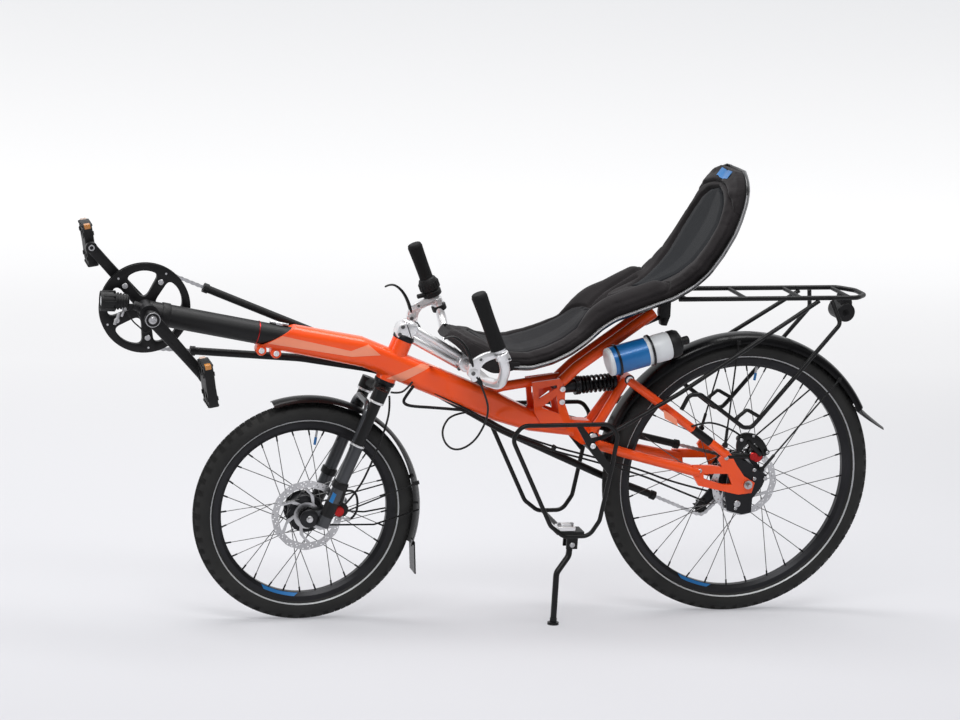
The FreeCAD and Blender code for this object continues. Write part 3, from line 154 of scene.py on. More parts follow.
@contextmanager
def editing(select="SELECT"):
    """Edit Mode for the lines under it, after selecting everything or nothing."""
    bpy.ops.object.mode_set(mode="EDIT")
    if select:
        bpy.ops.mesh.select_all(action=select)
    yield
    bpy.ops.object.mode_set(mode="OBJECT")


def add_node(tree, kind, **values):
    """Adds a shader node and sets some of its inputs; an underscore stands for a space."""
    node = tree.nodes.new("ShaderNode" + kind)
    for key, value in values.items():
        node.inputs[key.replace("_", " ")].default_value = value
    return node


def wire(source, output, target, entry):
    """Links an output of one shader node to an input of another."""
    source.id_data.links.new(source.outputs[output], target.inputs[entry])


def set_stops(node, stops):
    """Gives a colour ramp its positions and colours."""
    elements = node.color_ramp.elements
    for index, (position, colour) in enumerate(stops):
        stop = elements[index] if index < 2 else elements.new(position)
        stop.position = position
        stop.color = (*colour, 1)


def bake_place(obj):
    """Puts an object's transform into its mesh."""
    obj.data.transform(obj.matrix_world)
    obj.matrix_world = Matrix.Identity(4)
    bpy.context.view_layer.update()


def with_modifier(obj, kind, **settings):
    """Adds one modifier, sets it and applies it."""
    alone(obj)
    modifier = obj.modifiers.new(kind.title(), kind)
    for key, value in settings.items():
        setattr(modifier, key, value)
    bpy.ops.object.modifier_apply(modifier=modifier.name)
    return obj


def smooth(obj, degrees=35):
    """Smooth shading that keeps edges sharper than this angle."""
    alone(obj)
    bpy.ops.object.shade_smooth_by_angle(angle=math.radians(degrees))


def join(name, parts):
    """Makes one mesh object out of several."""
    alone(parts[0])
    for part in parts[1:]:
        part.select_set(True)
    if len(parts) > 1:
        bpy.ops.object.join()
    return fresh(name)


def put(name, parts, body, material, smooth_by=35, replaces=()):
    """Makes one piece of parts drawn in bicycle millimetres: name, place, finish and body."""
    obj = join(name, parts if isinstance(parts, list) else [parts])
    bake_place(obj)
    obj.data.transform(MILLIMETRES)
    smooth(obj, smooth_by)
    obj.data.materials.clear()
    obj.data.materials.append(material)
    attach(obj, body)
    if replaces:
        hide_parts(*replaces)
    alone()
    print(name, "on", body + ":", len(obj.data.polygons), "faces")
    return obj


def aim(start, end):
    """Matrix that puts a Z-aligned primitive halfway between two points, along their line."""
    start, end = Vector(start), Vector(end)
    turn = (end - start).to_track_quat("Z", "Y").to_matrix().to_4x4()
    return Matrix.Translation((start + end) / 2) @ turn


def bar(start, end, radius, edge=0.6, sides=24):
    """A round bar between two points, with its two end edges bevelled."""
    alone()
    length = (Vector(end) - Vector(start)).length
    bpy.ops.mesh.primitive_cylinder_add(vertices=sides, radius=radius, depth=length)
    obj = fresh("bar")
    if edge:
        with editing("DESELECT"):
            bpy.ops.mesh.select_mode(type="EDGE")
        for one in obj.data.edges:
            ends = [obj.data.vertices[i].co.z for i in one.vertices]
            one.select = abs(ends[0] - ends[1]) < 1e-4
        with editing(None):
            bpy.ops.mesh.bevel(offset=edge, segments=2, affect="EDGES")
    obj.matrix_world = aim(start, end)
    bake_place(obj)
    return obj


def lathe(profile, start, along, steps=48):
    """Turns a profile of (distance along, radius) pairs round an axis, as on a lathe."""
    points = [(radius, 0, distance) for distance, radius in profile]
    closed = (Vector(points[0]) - Vector(points[-1])).length < 1e-6
    if closed:
        points = points[:-1]
    links = [(i, i + 1) for i in range(len(points) - 1)]
    if closed:
        links.append((len(points) - 1, 0))
    obj = new_mesh("lathe", points, links, [])
    with_modifier(obj, "SCREW", angle=math.tau, steps=steps, render_steps=steps, axis="Z",
                  use_merge_vertices=True, merge_threshold=0.001)
    outward(obj)
    turn = Vector(along).to_track_quat("Z", "Y").to_matrix().to_4x4()
    obj.matrix_world = Matrix.Translation(Vector(start)) @ turn
    bake_place(obj)
    return obj


def cut(obj, tool):
    """Cuts one mesh out of another and keeps the tool."""
    return with_modifier(obj, "BOOLEAN", operation="DIFFERENCE", object=tool, solver="EXACT")


def cut_out(obj, cutters):
    """Cuts tools out of a piece and removes the tools."""
    tool = join("tool", cutters)
    cut(obj, tool)
    bpy.data.objects.remove(tool)
    return obj


def bevelled(obj, width, degrees):
    """Bevels the edges that are sharper than an angle."""
    return with_modifier(obj, "BEVEL", width=width, segments=2, limit_method="ANGLE",
                         angle_limit=math.radians(degrees))


def turned_y(degrees):
    """A turn about the axis that runs across the bicycle."""
    return Matrix.Rotation(math.radians(degrees), 4, "Y")


def tube_profile(low, high, inner, outer, along=0, out=0):
    """The closed profile of a sleeve, for the lathe; its outer edges can be cut off at a slant."""
    slant = [(low + along, outer), (high - along, outer)] if along else []
    return [(low, inner), (low, outer - out), *slant, (high, outer - out), (high, inner), (low, inner)]


def outward(obj):
    """Merges doubles and makes all faces point outwards."""
    alone(obj)
    with editing():
        bpy.ops.mesh.remove_doubles(threshold=0.0005)
        bpy.ops.mesh.normals_make_consistent(inside=False)


def pipe(points, radius, closed=False, resolution=10, sides=6, order=3):
    """A round tube along one smooth spline, its ends filled."""
    curve = bpy.data.curves.new("pipe", "CURVE")
    curve.dimensions = "3D"
    spline = curve.splines.new("NURBS")
    spline.points.add(len(points) - 1)
    for point, place in zip(spline.points, points):
        point.co = (*place, 1)
    spline.order_u = min(order, len(points))
    spline.use_endpoint_u = not closed
    spline.use_cyclic_u = closed
    spline.resolution_u = resolution
    curve.bevel_depth = radius
    curve.bevel_resolution = sides
    curve.use_fill_caps = True
    alone(new_object("pipe", curve))
    bpy.ops.object.convert(target="MESH")
    obj = bpy.context.active_object
    outward(obj)
    return obj


def block(centre, size, edge=1.0, turn=None):
    """A box with rounded edges; `turn` is a rotation matrix about its middle."""
    alone()
    bpy.ops.mesh.primitive_cube_add(size=1)
    obj = fresh("block")
    obj.data.transform(Matrix.Diagonal((*size, 1)))
    if edge:
        with editing():
            bpy.ops.mesh.bevel(offset=edge, segments=3, affect="EDGES")
    obj.matrix_world = Matrix.Translation(Vector(centre)) @ (turn or Matrix.Identity(4))
    bake_place(obj)
    return obj


def plate(outline, y_from, y_to, edge=0.6):
    """A flat plate: an outline in the bicycle's middle plane, extruded across it."""
    obj = new_mesh("plate", [(x, y_from, z) for x, z in outline], [], [list(range(len(outline)))])
    alone(obj)
    with editing():
        bpy.ops.mesh.extrude_region_move(TRANSFORM_OT_translate={"value": (0, y_to - y_from, 0)})
        bpy.ops.mesh.select_all(action="SELECT")
        bpy.ops.mesh.normals_make_consistent(inside=False)
    if edge:
        bevelled(obj, edge, 30)
    return obj


# %% [markdown]
# ## Camera, floor and light
# A long lens from the bicycle's left, a little above it and a little ahead: it keeps the wheels nearly
# round. The camera is placed in the bicycle's own axes and leaned with it, which gives its slight roll.

# %% Camera
eye = Vector((-1141.7, -5291.5, 1817.4))
view_right = Vector((0.96273, -0.26172, 0.06822))
view_up = Vector((-0.00744, 0.22652, 0.97398))
view_ahead = Vector((0.27037, 0.93818, -0.21613))
camera_data = bpy.data.cameras.new("camera")
camera_data.lens = 94.39
camera_data.sensor_width = 36
camera_data.clip_end = 200
camera = new_object("camera", camera_data)
pose = Matrix((view_right, view_up, -view_ahead)).transposed().to_4x4()
pose.translation = eye
pose = MILLIMETRES @ pose
place, turn, _ = pose.decompose()
camera.matrix_world = Matrix.LocRotScale(place, turn, None)
scene.camera = camera
print("camera", [round(v, 3) for v in place], "lens", camera_data.lens)

# %% [markdown]
# The floor is a pale sheet that sweeps up into a backdrop far behind the bicycle, so no horizon shows.
# The paper glows a little by itself, which keeps it even; its diffuse share takes the soft shadow under
# the tyres. The world is dark behind the camera and light overhead, so dark parts stay dark and edges
# catch a highlight. Standard colour management keeps the enamel as vivid as it is.

# %% Floor and backdrop
scene.view_settings.view_transform = "Standard"
SWEEP_START, SWEEP_RADIUS, SWEEP_HALF = 9.0, 5.0, 40.0
sweep_line = [(-30.0, 0.0), (SWEEP_START, 0.0)]
for step in range(1, 13):
    lift = math.radians(7.5 * step)
    sweep_line.append((SWEEP_START + SWEEP_RADIUS * math.sin(lift),
                       SWEEP_RADIUS * (1 - math.cos(lift))))
sweep_line.append((SWEEP_START + SWEEP_RADIUS, 30.0))
rows = [(side * SWEEP_HALF, y, z) for y, z in sweep_line for side in (-1, 1)]
quads = [(2 * i, 2 * i + 1, 2 * i + 3, 2 * i + 2) for i in range(len(sweep_line) - 1)]
floor = new_mesh("floor", rows, [], quads)
smooth(floor, 60)
HEIGHT_WEIGHT = 5.0  # a metre up the backdrop counts as five metres back
GLOW = [(0.0, (0.235, 0.235, 0.255)), (0.12, (0.400, 0.402, 0.418)), (0.25, (0.610, 0.610, 0.618)),
        (0.55, (0.820, 0.820, 0.820)), (1.0, (0.660, 0.665, 0.675))]
paper = bpy.data.materials.new("studio_paper")
paper.use_nodes = True
paper_shader = paper.node_tree.nodes["Principled BSDF"]
paper_shader.inputs["Base Color"].default_value = (0.35, 0.35, 0.36, 1)
paper_shader.inputs["Roughness"].default_value = 0.95
paper_shader.inputs["Specular IOR Level"].default_value = 0.0
paper_shader.inputs["Emission Strength"].default_value = 1.0
paper_place = add_node(paper.node_tree, "TexCoord")
paper_split = add_node(paper.node_tree, "SeparateXYZ")
paper_depth = add_node(paper.node_tree, "Math")
paper_depth.operation = "MULTIPLY_ADD"
paper_depth.inputs[1].default_value = HEIGHT_WEIGHT
paper_range = add_node(paper.node_tree, "MapRange", From_Min=-1.0, From_Max=22.0)
paper_glow = add_node(paper.node_tree, "ValToRGB")
wire(paper_place, "Object", paper_split, "Vector")
wire(paper_split, "Z", paper_depth, 0)
wire(paper_split, "Y", paper_depth, 2)
wire(paper_depth, 0, paper_range, "Value")
wire(paper_range, "Result", paper_glow, "Fac")
wire(paper_glow, "Color", paper_shader, "Emission Color")
set_stops(paper_glow, GLOW)
floor.data.materials.append(paper)
print("floor and backdrop:", len(quads), "faces,", len(GLOW), "steps of glow")

# %% World and lamps
world = bpy.data.worlds.new("studio")
scene.world = world
world.use_nodes = True
sky = world.node_tree
background = sky.nodes["Background"]
background.inputs["Strength"].default_value = 1.0
sky_place = add_node(sky, "TexCoord")
sky_split = add_node(sky, "SeparateXYZ")
sky_range = add_node(sky, "MapRange", From_Min=-1.0, From_Max=1.0)
sky_ramp = add_node(sky, "ValToRGB")
wire(sky_place, "Generated", sky_split, "Vector")
wire(sky_split, "Z", sky_range, "Value")
wire(sky_range, "Result", sky_ramp, "Fac")
wire(sky_ramp, "Color", background, "Color")
SKY = [(0.0, 0.20), (0.52, 0.20), (0.62, 0.16), (0.80, 0.30), (1.0, 0.85)]
set_stops(sky_ramp, [(position, (grey, grey, grey)) for position, grey in SKY])


def soft_lamp(name, place, target, size, watts):
    """A square area lamp aimed at a point."""
    data = bpy.data.lights.new(name, "AREA")
    data.shape = "RECTANGLE"
    data.size, data.size_y = size
    data.energy = watts
    lamp = new_object(name, data)
    lamp.location = place
    lamp.rotation_euler = (Vector(target) - Vector(place)).to_track_quat("-Z", "Y").to_euler()
    print(name, "lamp:", watts, "W")


MIDDLE = Vector((0, 0, 0.5))
soft_lamp("key", (-1.0, -3.0, 3.9), MIDDLE, (3.4, 1.0), 105)
soft_lamp("top", (0.2, 0.3, 4.2), MIDDLE, (5.0, 1.6), 150)
soft_lamp("side", (-4.5, -1.0, 2.2), MIDDLE, (1.2, 2.4), 28)

# %% [markdown]
# ## Finishes
# Each finish is one node material in Object coordinates: every mesh sits at the origin at full size, so a
# noise scale of 100 means grains of about a centimetre on any piece. Colour, roughness and bump each get
# a little of that noise, and constant values stay on the shader's own sockets.

# %% The finish maker
MATERIALS = {}


def shader_of(material):
    return material.node_tree.nodes["Principled BSDF"]


def noise(material, scale, detail=3.0, stretch=(1, 1, 1)):
    """A noise texture on Object coordinates, with its own stretch along each axis."""
    tree = material.node_tree
    where = add_node(tree, "TexCoord")
    mapping = add_node(tree, "Mapping", Scale=stretch)
    texture = add_node(tree, "TexNoise", Scale=scale, Detail=detail)
    wire(where, "Object", mapping, "Vector")
    wire(mapping, "Vector", texture, "Vector")
    return texture.outputs["Fac"]


def ramp(material, source, low, high):
    """Turns a factor into a colour between two colours."""
    node = add_node(material.node_tree, "ValToRGB")
    set_stops(node, [(0.3, low), (0.7, high)])
    material.node_tree.links.new(source, node.inputs["Fac"])
    return node.outputs["Color"]


def span(material, source, low, high):
    """Stretches a factor to lie between two numbers."""
    node = add_node(material.node_tree, "MapRange", To_Min=low, To_Max=high)
    material.node_tree.links.new(source, node.inputs["Value"])
    return node.outputs["Result"]


def bump(material, height, distance, strength=0.5):
    """Adds a bump, over any bump that the shader has already."""
    node = add_node(material.node_tree, "Bump", Distance=distance, Strength=strength)
    links = material.node_tree.links
    links.new(height, node.inputs["Height"])
    normal = shader_of(material).inputs["Normal"]
    if normal.is_linked:
        links.new(normal.links[0].from_socket, node.inputs["Normal"])
    links.new(node.outputs["Normal"], normal)


def finish(name, dark, light, rough, metal=0.0, coat=0.0, grain=(300, 3e-5), patch=9,
           specular=0.5, coat_rough=0.08, stretch=(1, 1, 1)):
    """A finish with slightly uneven colour and roughness and a fine grain."""
    material = bpy.data.materials.new(name)
    material.use_nodes = True
    shader = shader_of(material)
    links = material.node_tree.links
    links.new(ramp(material, noise(material, patch, 4), dark, light), shader.inputs["Base Color"])
    links.new(span(material, noise(material, patch * 4, 3), *rough), shader.inputs["Roughness"])
    shader.inputs["Metallic"].default_value = metal
    shader.inputs["Specular IOR Level"].default_value = specular
    shader.inputs["Coat Weight"].default_value = coat
    shader.inputs["Coat Roughness"].default_value = coat_rough
    if grain:
        bump(material, noise(material, grain[0], 2, stretch), grain[1])
    MATERIALS[name] = material
    return material


print("scene has", len(bpy.data.materials), "materials before any finish")

# %% Paint, metal, rubber and plastic
orange = finish("orange_enamel", (0.88, 0.074, 0.006), (0.95, 0.094, 0.008), (0.28, 0.38), coat=0.5,
                grain=(900, 1e-5), specular=0.25, coat_rough=0.05)
black_coat = finish("black_powder_coat", (0.003, 0.003, 0.0034), (0.006, 0.006, 0.0065), (0.34, 0.46),
                    grain=(1400, 2e-5), specular=0.3)
boom_coat = finish("boom_satin_black", (0.004, 0.004, 0.0045), (0.008, 0.008, 0.009), (0.42, 0.52),
                   grain=(1800, 3e-5), specular=0.3)
black_anodised = finish("black_anodised", (0.010, 0.010, 0.012), (0.022, 0.022, 0.025), (0.32, 0.42),
                        metal=0.6, grain=(700, 1e-5))
fork_grey = finish("fork_graphite", (0.035, 0.037, 0.042), (0.055, 0.058, 0.064), (0.3, 0.4), metal=0.5,
                   coat=0.4, grain=(900, 1e-5))
polished = finish("polished_aluminium", (0.78, 0.78, 0.79), (0.88, 0.88, 0.89), (0.24, 0.34), metal=0.72,
                  grain=(500, 1e-5))
brushed = finish("brushed_steel", (0.42, 0.42, 0.43), (0.62, 0.62, 0.63), (0.24, 0.38), metal=1.0,
                 grain=(420, 2e-5), stretch=(1, 6, 1))
dark_steel = finish("dark_steel", (0.10, 0.10, 0.10), (0.2, 0.2, 0.2), (0.3, 0.45), metal=1.0,
                    grain=(600, 2e-5))
moulded = finish("moulded_black_plastic", (0.004, 0.004, 0.0045), (0.008, 0.008, 0.0085), (0.45, 0.6),
                 grain=(1100, 6e-5), specular=0.3)
gloss = finish("gloss_black_plastic", (0.002, 0.002, 0.0025), (0.004, 0.004, 0.0045), (0.24, 0.32),
               coat=0.08, grain=(500, 8e-6), specular=0.16)
rubber = finish("grip_rubber", (0.005, 0.005, 0.0055), (0.010, 0.010, 0.0105), (0.6, 0.75),
                grain=(1300, 8e-5), specular=0.2)
shell_black = finish("seat_shell_gloss", (0.003, 0.003, 0.004), (0.007, 0.007, 0.008), (0.14, 0.22),
                     coat=0.4, grain=(250, 8e-6))
red_lens = finish("red_lens", (0.22, 0.004, 0.004), (0.33, 0.008, 0.006), (0.08, 0.14), coat=1.0,
                  grain=(500, 4e-5))
amber = finish("amber_reflector", (0.42, 0.15, 0.015), (0.6, 0.24, 0.025), (0.12, 0.2), coat=0.8,
               grain=(700, 8e-5))
red_anodised = finish("red_anodised", (0.32, 0.01, 0.012), (0.45, 0.02, 0.02), (0.22, 0.3), metal=0.8,
                      grain=(600, 1e-5))
sky_blue = finish("blue_anodised", (0.006, 0.12, 0.36), (0.01, 0.17, 0.45), (0.3, 0.4), metal=0.2,
                  coat=0.3, grain=(600, 1e-5))
clear_lens = finish("lamp_lens", (0.75, 0.77, 0.8), (0.9, 0.92, 0.95), (0.04, 0.08), metal=0.3, coat=1.0,
                    grain=(300, 0.0001))
print(len(MATERIALS), "finishes so far")

# %% A finish for every CAD node
NODE_FINISH = {
    orange: ["main_frame", "gusset_plates", "seat_strut", "swingarm_front", "chainstays", "seatstays",
             "dropouts"],
    black_coat: ["rack_platform", "rack_struts", "pannier_loops", "low_rider_left", "low_rider_right",
                 "low_rider_bridge", "side_stand"],
    boom_coat: ["boom"],
    black_anodised: ["front_rim", "rear_rim", "front_hub", "rear_hub", "chainring", "left_crank",
                     "right_crank", "shock_body", "shock_spring", "front_brake_caliper",
                     "rear_brake_caliper", "left_pedal", "right_pedal", "bottle_cage", "torque_plate"],
    fork_grey: ["fork_lowers"],
    gloss: ["rear_fender", "front_fender", "headlight"],
    shell_black: ["seat_shell"],
    polished: ["stem", "handlebar"],
    brushed: ["front_disc", "rear_disc", "front_axle", "rear_axle", "chain", "rear_sprocket"],
    moulded: ["chain_guard", "chain_tubes", "chain_idler", "chain_tensioner", "bar_cables",
              "frame_cables", "front_brake_hose", "tail_light", "bottle"],
    dark_steel: ["front_spokes", "rear_spokes"],
    rubber: ["grips", "front_tyre", "rear_tyre", "seat_cushion"],
}


def dress(label, material):
    """Gives a CAD node a finish, in place of the plain one it came with."""
    mesh = nodes[label].data
    mesh.materials.clear()
    mesh.materials.append(material)


for material, labels in NODE_FINISH.items():
    for label in labels:
        dress(label, material)
dress("fork_crown", black_coat)
dress("brake_levers", polished)
undressed = [name for name, obj in nodes.items() if obj.data.materials[0].name not in MATERIALS]
print("nodes still without a finish:", undressed)

# %% [markdown]
# ## Tyres
# A touring tyre is a round casing with rubber blocks on its crown, a smooth flank and a thin reflective
# line near the rim. The casing is turned from one profile; the blocks are faces of that turned ring,
# inset one by one and pushed outwards, so their layout repeats evenly round the wheel.

# %% Tyre measures and its section
TYRE_HALF = 23.5
BLOCK_HEIGHT = 1.3
WHEELS = [
    # name, centre, outer radius, blocks round, strip radius, rim's inner radius, hub half flange, flange
    ("front", FRONT_AXLE, FRONT_RADIUS, 112, 212.3, 187.5, 22, 42),
    ("rear", REAR_AXLE, REAR_RADIUS, 148, 288.8, 264.0, 30, 54),
]


def tyre_profile(radius):
    """Casing section from bead to bead, just under the blocks."""
    middle = radius - TYRE_HALF
    low = TYRE_HALF - BLOCK_HEIGHT
    points = []
    for degrees in range(-128, 129, 8):
        turn = math.radians(degrees)
        flat = 1.0 if abs(degrees) < 60 else 1.0 + 0.045 * min(1, (abs(degrees) - 60) / 20)
        reach = middle + low * math.cos(turn) * flat
        points.append((low * math.sin(turn) * flat, reach))
    bead = middle - 0.72 * TYRE_HALF
    return [(-10.5, bead - 5)] + points + [(10.5, bead - 5), (-10.5, bead - 5)]


def raise_blocks(obj, centre, radius, count):
    """Insets chosen faces of the crown and shoulders and lifts them into tread blocks."""
    middle = radius - TYRE_HALF
    alone(obj)
    with editing(None):
        bpy.ops.mesh.select_mode(type="FACE")
        bpy.ops.mesh.select_all(action="DESELECT")
    chosen = 0
    for face in obj.data.polygons:
        out = face.center - centre
        reach = math.hypot(out.x, out.z) - middle
        lean = math.degrees(math.atan2(abs(out.y), reach))
        step = int((math.degrees(math.atan2(out.z, out.x)) % 360) / 360 * count)
        crown = lean < 24
        shoulder = 24 <= lean < 56 and (step + (out.y > 0)) % 2 == 0
        edge = 56 <= lean < 66 and (step + (out.y > 0)) % 4 == 0
        face.select = reach > 0 and (crown or shoulder or edge)
        chosen += face.select
    with editing(None):
        bpy.ops.mesh.inset(thickness=0.9, use_individual=True)
        bpy.ops.mesh.extrude_region_shrink_fatten(TRANSFORM_OT_shrink_fatten={"value": BLOCK_HEIGHT})
    return chosen


print("front tyre's section has", len(tyre_profile(FRONT_RADIUS)), "points")

# %% Rubber for the tyres
tyre_rubber = finish("tyre_rubber", (0.012, 0.012, 0.012), (0.022, 0.022, 0.021), (0.62, 0.8),
                     grain=(900, 8e-5), patch=14, specular=0.3)
reflective = finish("reflective_line", (0.42, 0.43, 0.44), (0.56, 0.57, 0.58), (0.35, 0.45), metal=0.2,
                    grain=(900, 3e-5))
print(len(MATERIALS), "finishes so far")

# %% Turn both tyres and their reflective lines
for name, centre, radius, count, strip, _, _, _ in WHEELS:
    tyre = lathe(tyre_profile(radius), centre, RIGHTWARD, steps=count)
    blocks = raise_blocks(tyre, centre, radius, count)
    put(name + "_tyre_tread", tyre, name + "_wheel", tyre_rubber, 32, [name + "_tyre"])
    print(blocks, "faces raised into blocks")
    sides = []
    for side in (-1, 1):
        middle = radius - TYRE_HALF
        line = []
        for lift, reach in ((0.1, 1.5), (0.7, 1.2), (0.7, -1.2), (0.1, -1.5)):
            r = strip + reach
            y = math.sqrt((TYRE_HALF - BLOCK_HEIGHT) ** 2 - (r - middle) ** 2) * 1.045 + lift
            line.append((side * y, r))
        sides.append(lathe(line, centre, RIGHTWARD, steps=96))
    put(name + "_tyre_line", sides, name + "_wheel", reflective)

# %% [markdown]
# ## Spokes, nipples and valve
# Each wheel has 32 spokes that leave the hub's flanges sideways and cross on their way to the rim. One
# spoke is a thin round bar with a thicker nipple where it enters the rim. The table gives, for each set
# of spokes, its side of the hub, the way it leans and its place round the rim.

# %% Lace both wheels
SPOKE_SETS = [(-1, 1, 3.5, 0.00), (-1, -1, -3.5, 0.50), (1, 1, 3.5, 0.25), (1, -1, -3.5, 0.75)]
SPOKE_LEAN = 62
for name, centre, radius, _, _, rim_inside, flange_y, flange in WHEELS:
    wires, nipples = [], []
    for side, lean, offset, share in SPOKE_SETS:
        for pair in range(8):
            place = 360 * (pair + share) / 8
            start = around(centre, flange - 4, place - lean * SPOKE_LEAN, side * (flange_y + offset))
            end = around(centre, rim_inside - 0.4, place, side * 3)
            along = (end - start).normalized()
            wires.append(bar(start, end, 1.0, edge=0, sides=8))
            nipples.append(bar(end - along * 12, end + along * 1.5, 2.0, edge=0.4, sides=8))
            elbow = start - Vector((0, offset * side * 1.2, 0))
            wires.append(bar(elbow, start, 1.0, edge=0.3, sides=8))
    put(name + "_spoke_set", wires, name + "_wheel", dark_steel,
        replaces=[name + "_spokes"])
    put(name + "_nipples", nipples, name + "_wheel", black_anodised)
    valve_low = around(centre, rim_inside - 34, 84)
    valve_top = around(centre, rim_inside + 2, 84)
    stem_low = valve_low + (valve_top - valve_low) * 0.45
    put(name + "_valve", bar(stem_low, valve_top, 2.6, 0.3, 16), name + "_wheel", brushed)
    cap = bar(valve_low, valve_low + (valve_top - valve_low) * 0.5, 3.2, 0.8, 12)
    put(name + "_valve_cap", cap, name + "_wheel", sky_blue)

# %% [markdown]
# ## Rim patches, hub details and discs
# The rims carry one plain blue patch low on their flank. It is the same turned section as the rim, swept
# through part of a turn. The brake discs have a wavy edge, rows of small holes and slim swept arms.

# %% Blue patches on the rims
def rim_patch(centre, rim_inside, side, from_degrees, sweep):
    """A thin skin on the rim's sloping flank, over part of the circle."""
    corners = [(rim_inside + 1.2, 6.9), (rim_inside + 7.6, 12.2)]
    rows, quads = [], []
    steps = 24
    for step in range(steps + 1):
        turn = from_degrees + sweep * step / steps
        slant = 2.5 * (step / steps - 0.5)
        for (reach, y), shift in zip(corners, (slant, -slant)):
            rows.append(around(centre, reach, turn + shift, side * (y + 0.35)))
    for step in range(steps):
        quads.append((2 * step, 2 * step + 1, 2 * step + 3, 2 * step + 2))
    obj = new_mesh("patch", rows, [], quads)
    outward(obj)
    return with_modifier(obj, "SOLIDIFY", thickness=0.3, offset=0)


for name, centre, radius, _, _, rim_inside, _, _ in WHEELS:
    patches = [rim_patch(centre, rim_inside, side, 243, 24 if name == "front" else 17)
               for side in (-1, 1)]
    put(name + "_rim_patch", patches, name + "_wheel", sky_blue)


# %% Brake discs
DISC_RADIUS = 80.0
FRONT_DISC_Y, REAR_DISC_Y = -35.0, -52.5


def wavy_ring(outer, inner, y, thick, waves, depth, steps=216):
    """A flat ring whose edges run in waves."""
    rows, quads = [], []
    for step in range(steps):
        turn = math.tau * step / steps
        for base, swing in ((outer, depth), (inner, depth * 0.8)):
            r = base + swing * math.cos(waves * turn)
            for side in (-0.5, 0.5):
                rows.append((r * math.cos(turn), y + side * thick, r * math.sin(turn)))
    for step in range(steps):
        a, b = 4 * step, 4 * ((step + 1) % steps)
        quads += [(a, b, b + 1, a + 1), (a + 2, a + 3, b + 3, b + 2),
                  (a, a + 2, b + 2, b), (a + 1, b + 1, b + 3, a + 3)]
    obj = new_mesh("ring", rows, [], quads)
    outward(obj)
    return obj


def brake_disc(centre, y):
    """Wavy braking ring with slots, six swept arms and a carrier round the hub."""
    ring = wavy_ring(DISC_RADIUS - 0.8, 64, 0, 1.9, 12, 0.8)
    drills = []
    for row in range(36):
        for step, reach in enumerate((68.5, 72.5, 76.5)):
            place = around((0, 0, 0), reach, row * 10 + step * 3.2 + (row % 2) * 1.5)
            if (row + step) % 3:
                drills.append(bar(place - RIGHTWARD * 3, place + RIGHTWARD * 3, 1.7, 0, 10))
    cut_out(ring, drills)
    arms = []
    for arm in range(6):
        foot, tip = arm * 60, arm * 60 + 38
        outline = [around((0, 0, 0), 27, foot - 7), around((0, 0, 0), 46, foot + 12),
                   around((0, 0, 0), 65, tip - 5), around((0, 0, 0), 66, tip + 4),
                   around((0, 0, 0), 47, foot + 24), around((0, 0, 0), 29, foot + 12)]
        arms.append(plate([(p.x, p.z) for p in outline], -0.9, 0.9, 0.25))
    carrier = lathe(tube_profile(-1.6, 1.6, 19.5, 30), (0, 0, 0), RIGHTWARD, 60)
    disc = join("disc", [ring, carrier] + arms)
    disc.data.transform(Matrix.Translation(centre + RIGHTWARD * y))
    return disc


for name, centre, y in (("front", FRONT_AXLE, FRONT_DISC_Y), ("rear", REAR_AXLE, REAR_DISC_Y)):
    put(name + "_disc_rotor", brake_disc(centre, y), name + "_wheel", brushed,
        replaces=[name + "_disc"])

# %% Hub details
def knurled(centre, y_from, y_to, radius, teeth, bore):
    """A round cap with a toothed edge, such as a disc's lock ring."""
    outer = []
    for tooth in range(teeth * 4):
        r = radius if tooth % 4 in (1, 2) else radius - 1.6
        outer.append(around(centre, r, 360 * tooth / (teeth * 4), y_from))
    obj = new_mesh("knurl", outer, [], [list(range(len(outer)))])
    alone(obj)
    with editing():
        bpy.ops.mesh.extrude_region_move(TRANSFORM_OT_translate={"value": (0, y_to - y_from, 0)})
        bpy.ops.mesh.inset(thickness=radius - bore)
        bpy.ops.mesh.extrude_region_move(TRANSFORM_OT_translate={"value": (0, (y_from - y_to) / 2, 0)})
        bpy.ops.mesh.select_all(action="SELECT")
        bpy.ops.mesh.normals_make_consistent(inside=False)
    return obj


front_lock = knurled(FRONT_AXLE, -36.5, -42.5, 20, 16, 11)
put("front_lock_ring", front_lock, "front_wheel", moulded, 25)
rear_lock = knurled(REAR_AXLE, -54, -60, 20, 16, 11)
put("rear_lock_ring", rear_lock, "rear_wheel", moulded, 25)

# %% [markdown]
# ## The seat
# The seat is drawn along a spine: points of the shell's underside from the nose to the head, with the
# slope and the share of full width at each. A place on the seat is then (along, across, height), all in
# millimetres, so seams and panels can be laid out flat and carried onto the curved shape.

# %% Seat spine
STATIONS = [
    (288, 655, -38, 0.24), (300, 646, -38, 0.48), (318, 635, -36, 0.66), (342, 623, -30, 0.76),
    (374, 604, -18, 0.87), (413, 592, -5, 0.92), (467, 591, 6, 0.93), (521, 606, 19, 0.92),
    (566, 626, 27, 0.86), (607, 652, 35, 0.78), (641, 682, 37, 0.73), (671, 702, 28, 0.74),
    (704, 715, 24, 0.79), (747, 734, 23, 0.86), (794, 752, 27, 0.89), (841, 782, 39, 0.92),
    (876, 817, 51, 0.96), (905, 862, 60, 0.99), (930, 909, 65, 0.99), (943, 943, 70, 0.96),
    (955, 983, 74, 0.90), (960, 1012, 78, 0.82), (963, 1034, 81, 0.64), (965, 1049, 83, 0.36)]
knots = np.array(STATIONS, dtype=float)
steps = np.hypot(np.diff(knots[:, 0]), np.diff(knots[:, 1]))
knot_at = np.concatenate(([0.0], np.cumsum(steps)))
SEAT_LENGTH = float(knot_at[-1])
fine_at = np.linspace(0, SEAT_LENGTH, 461)


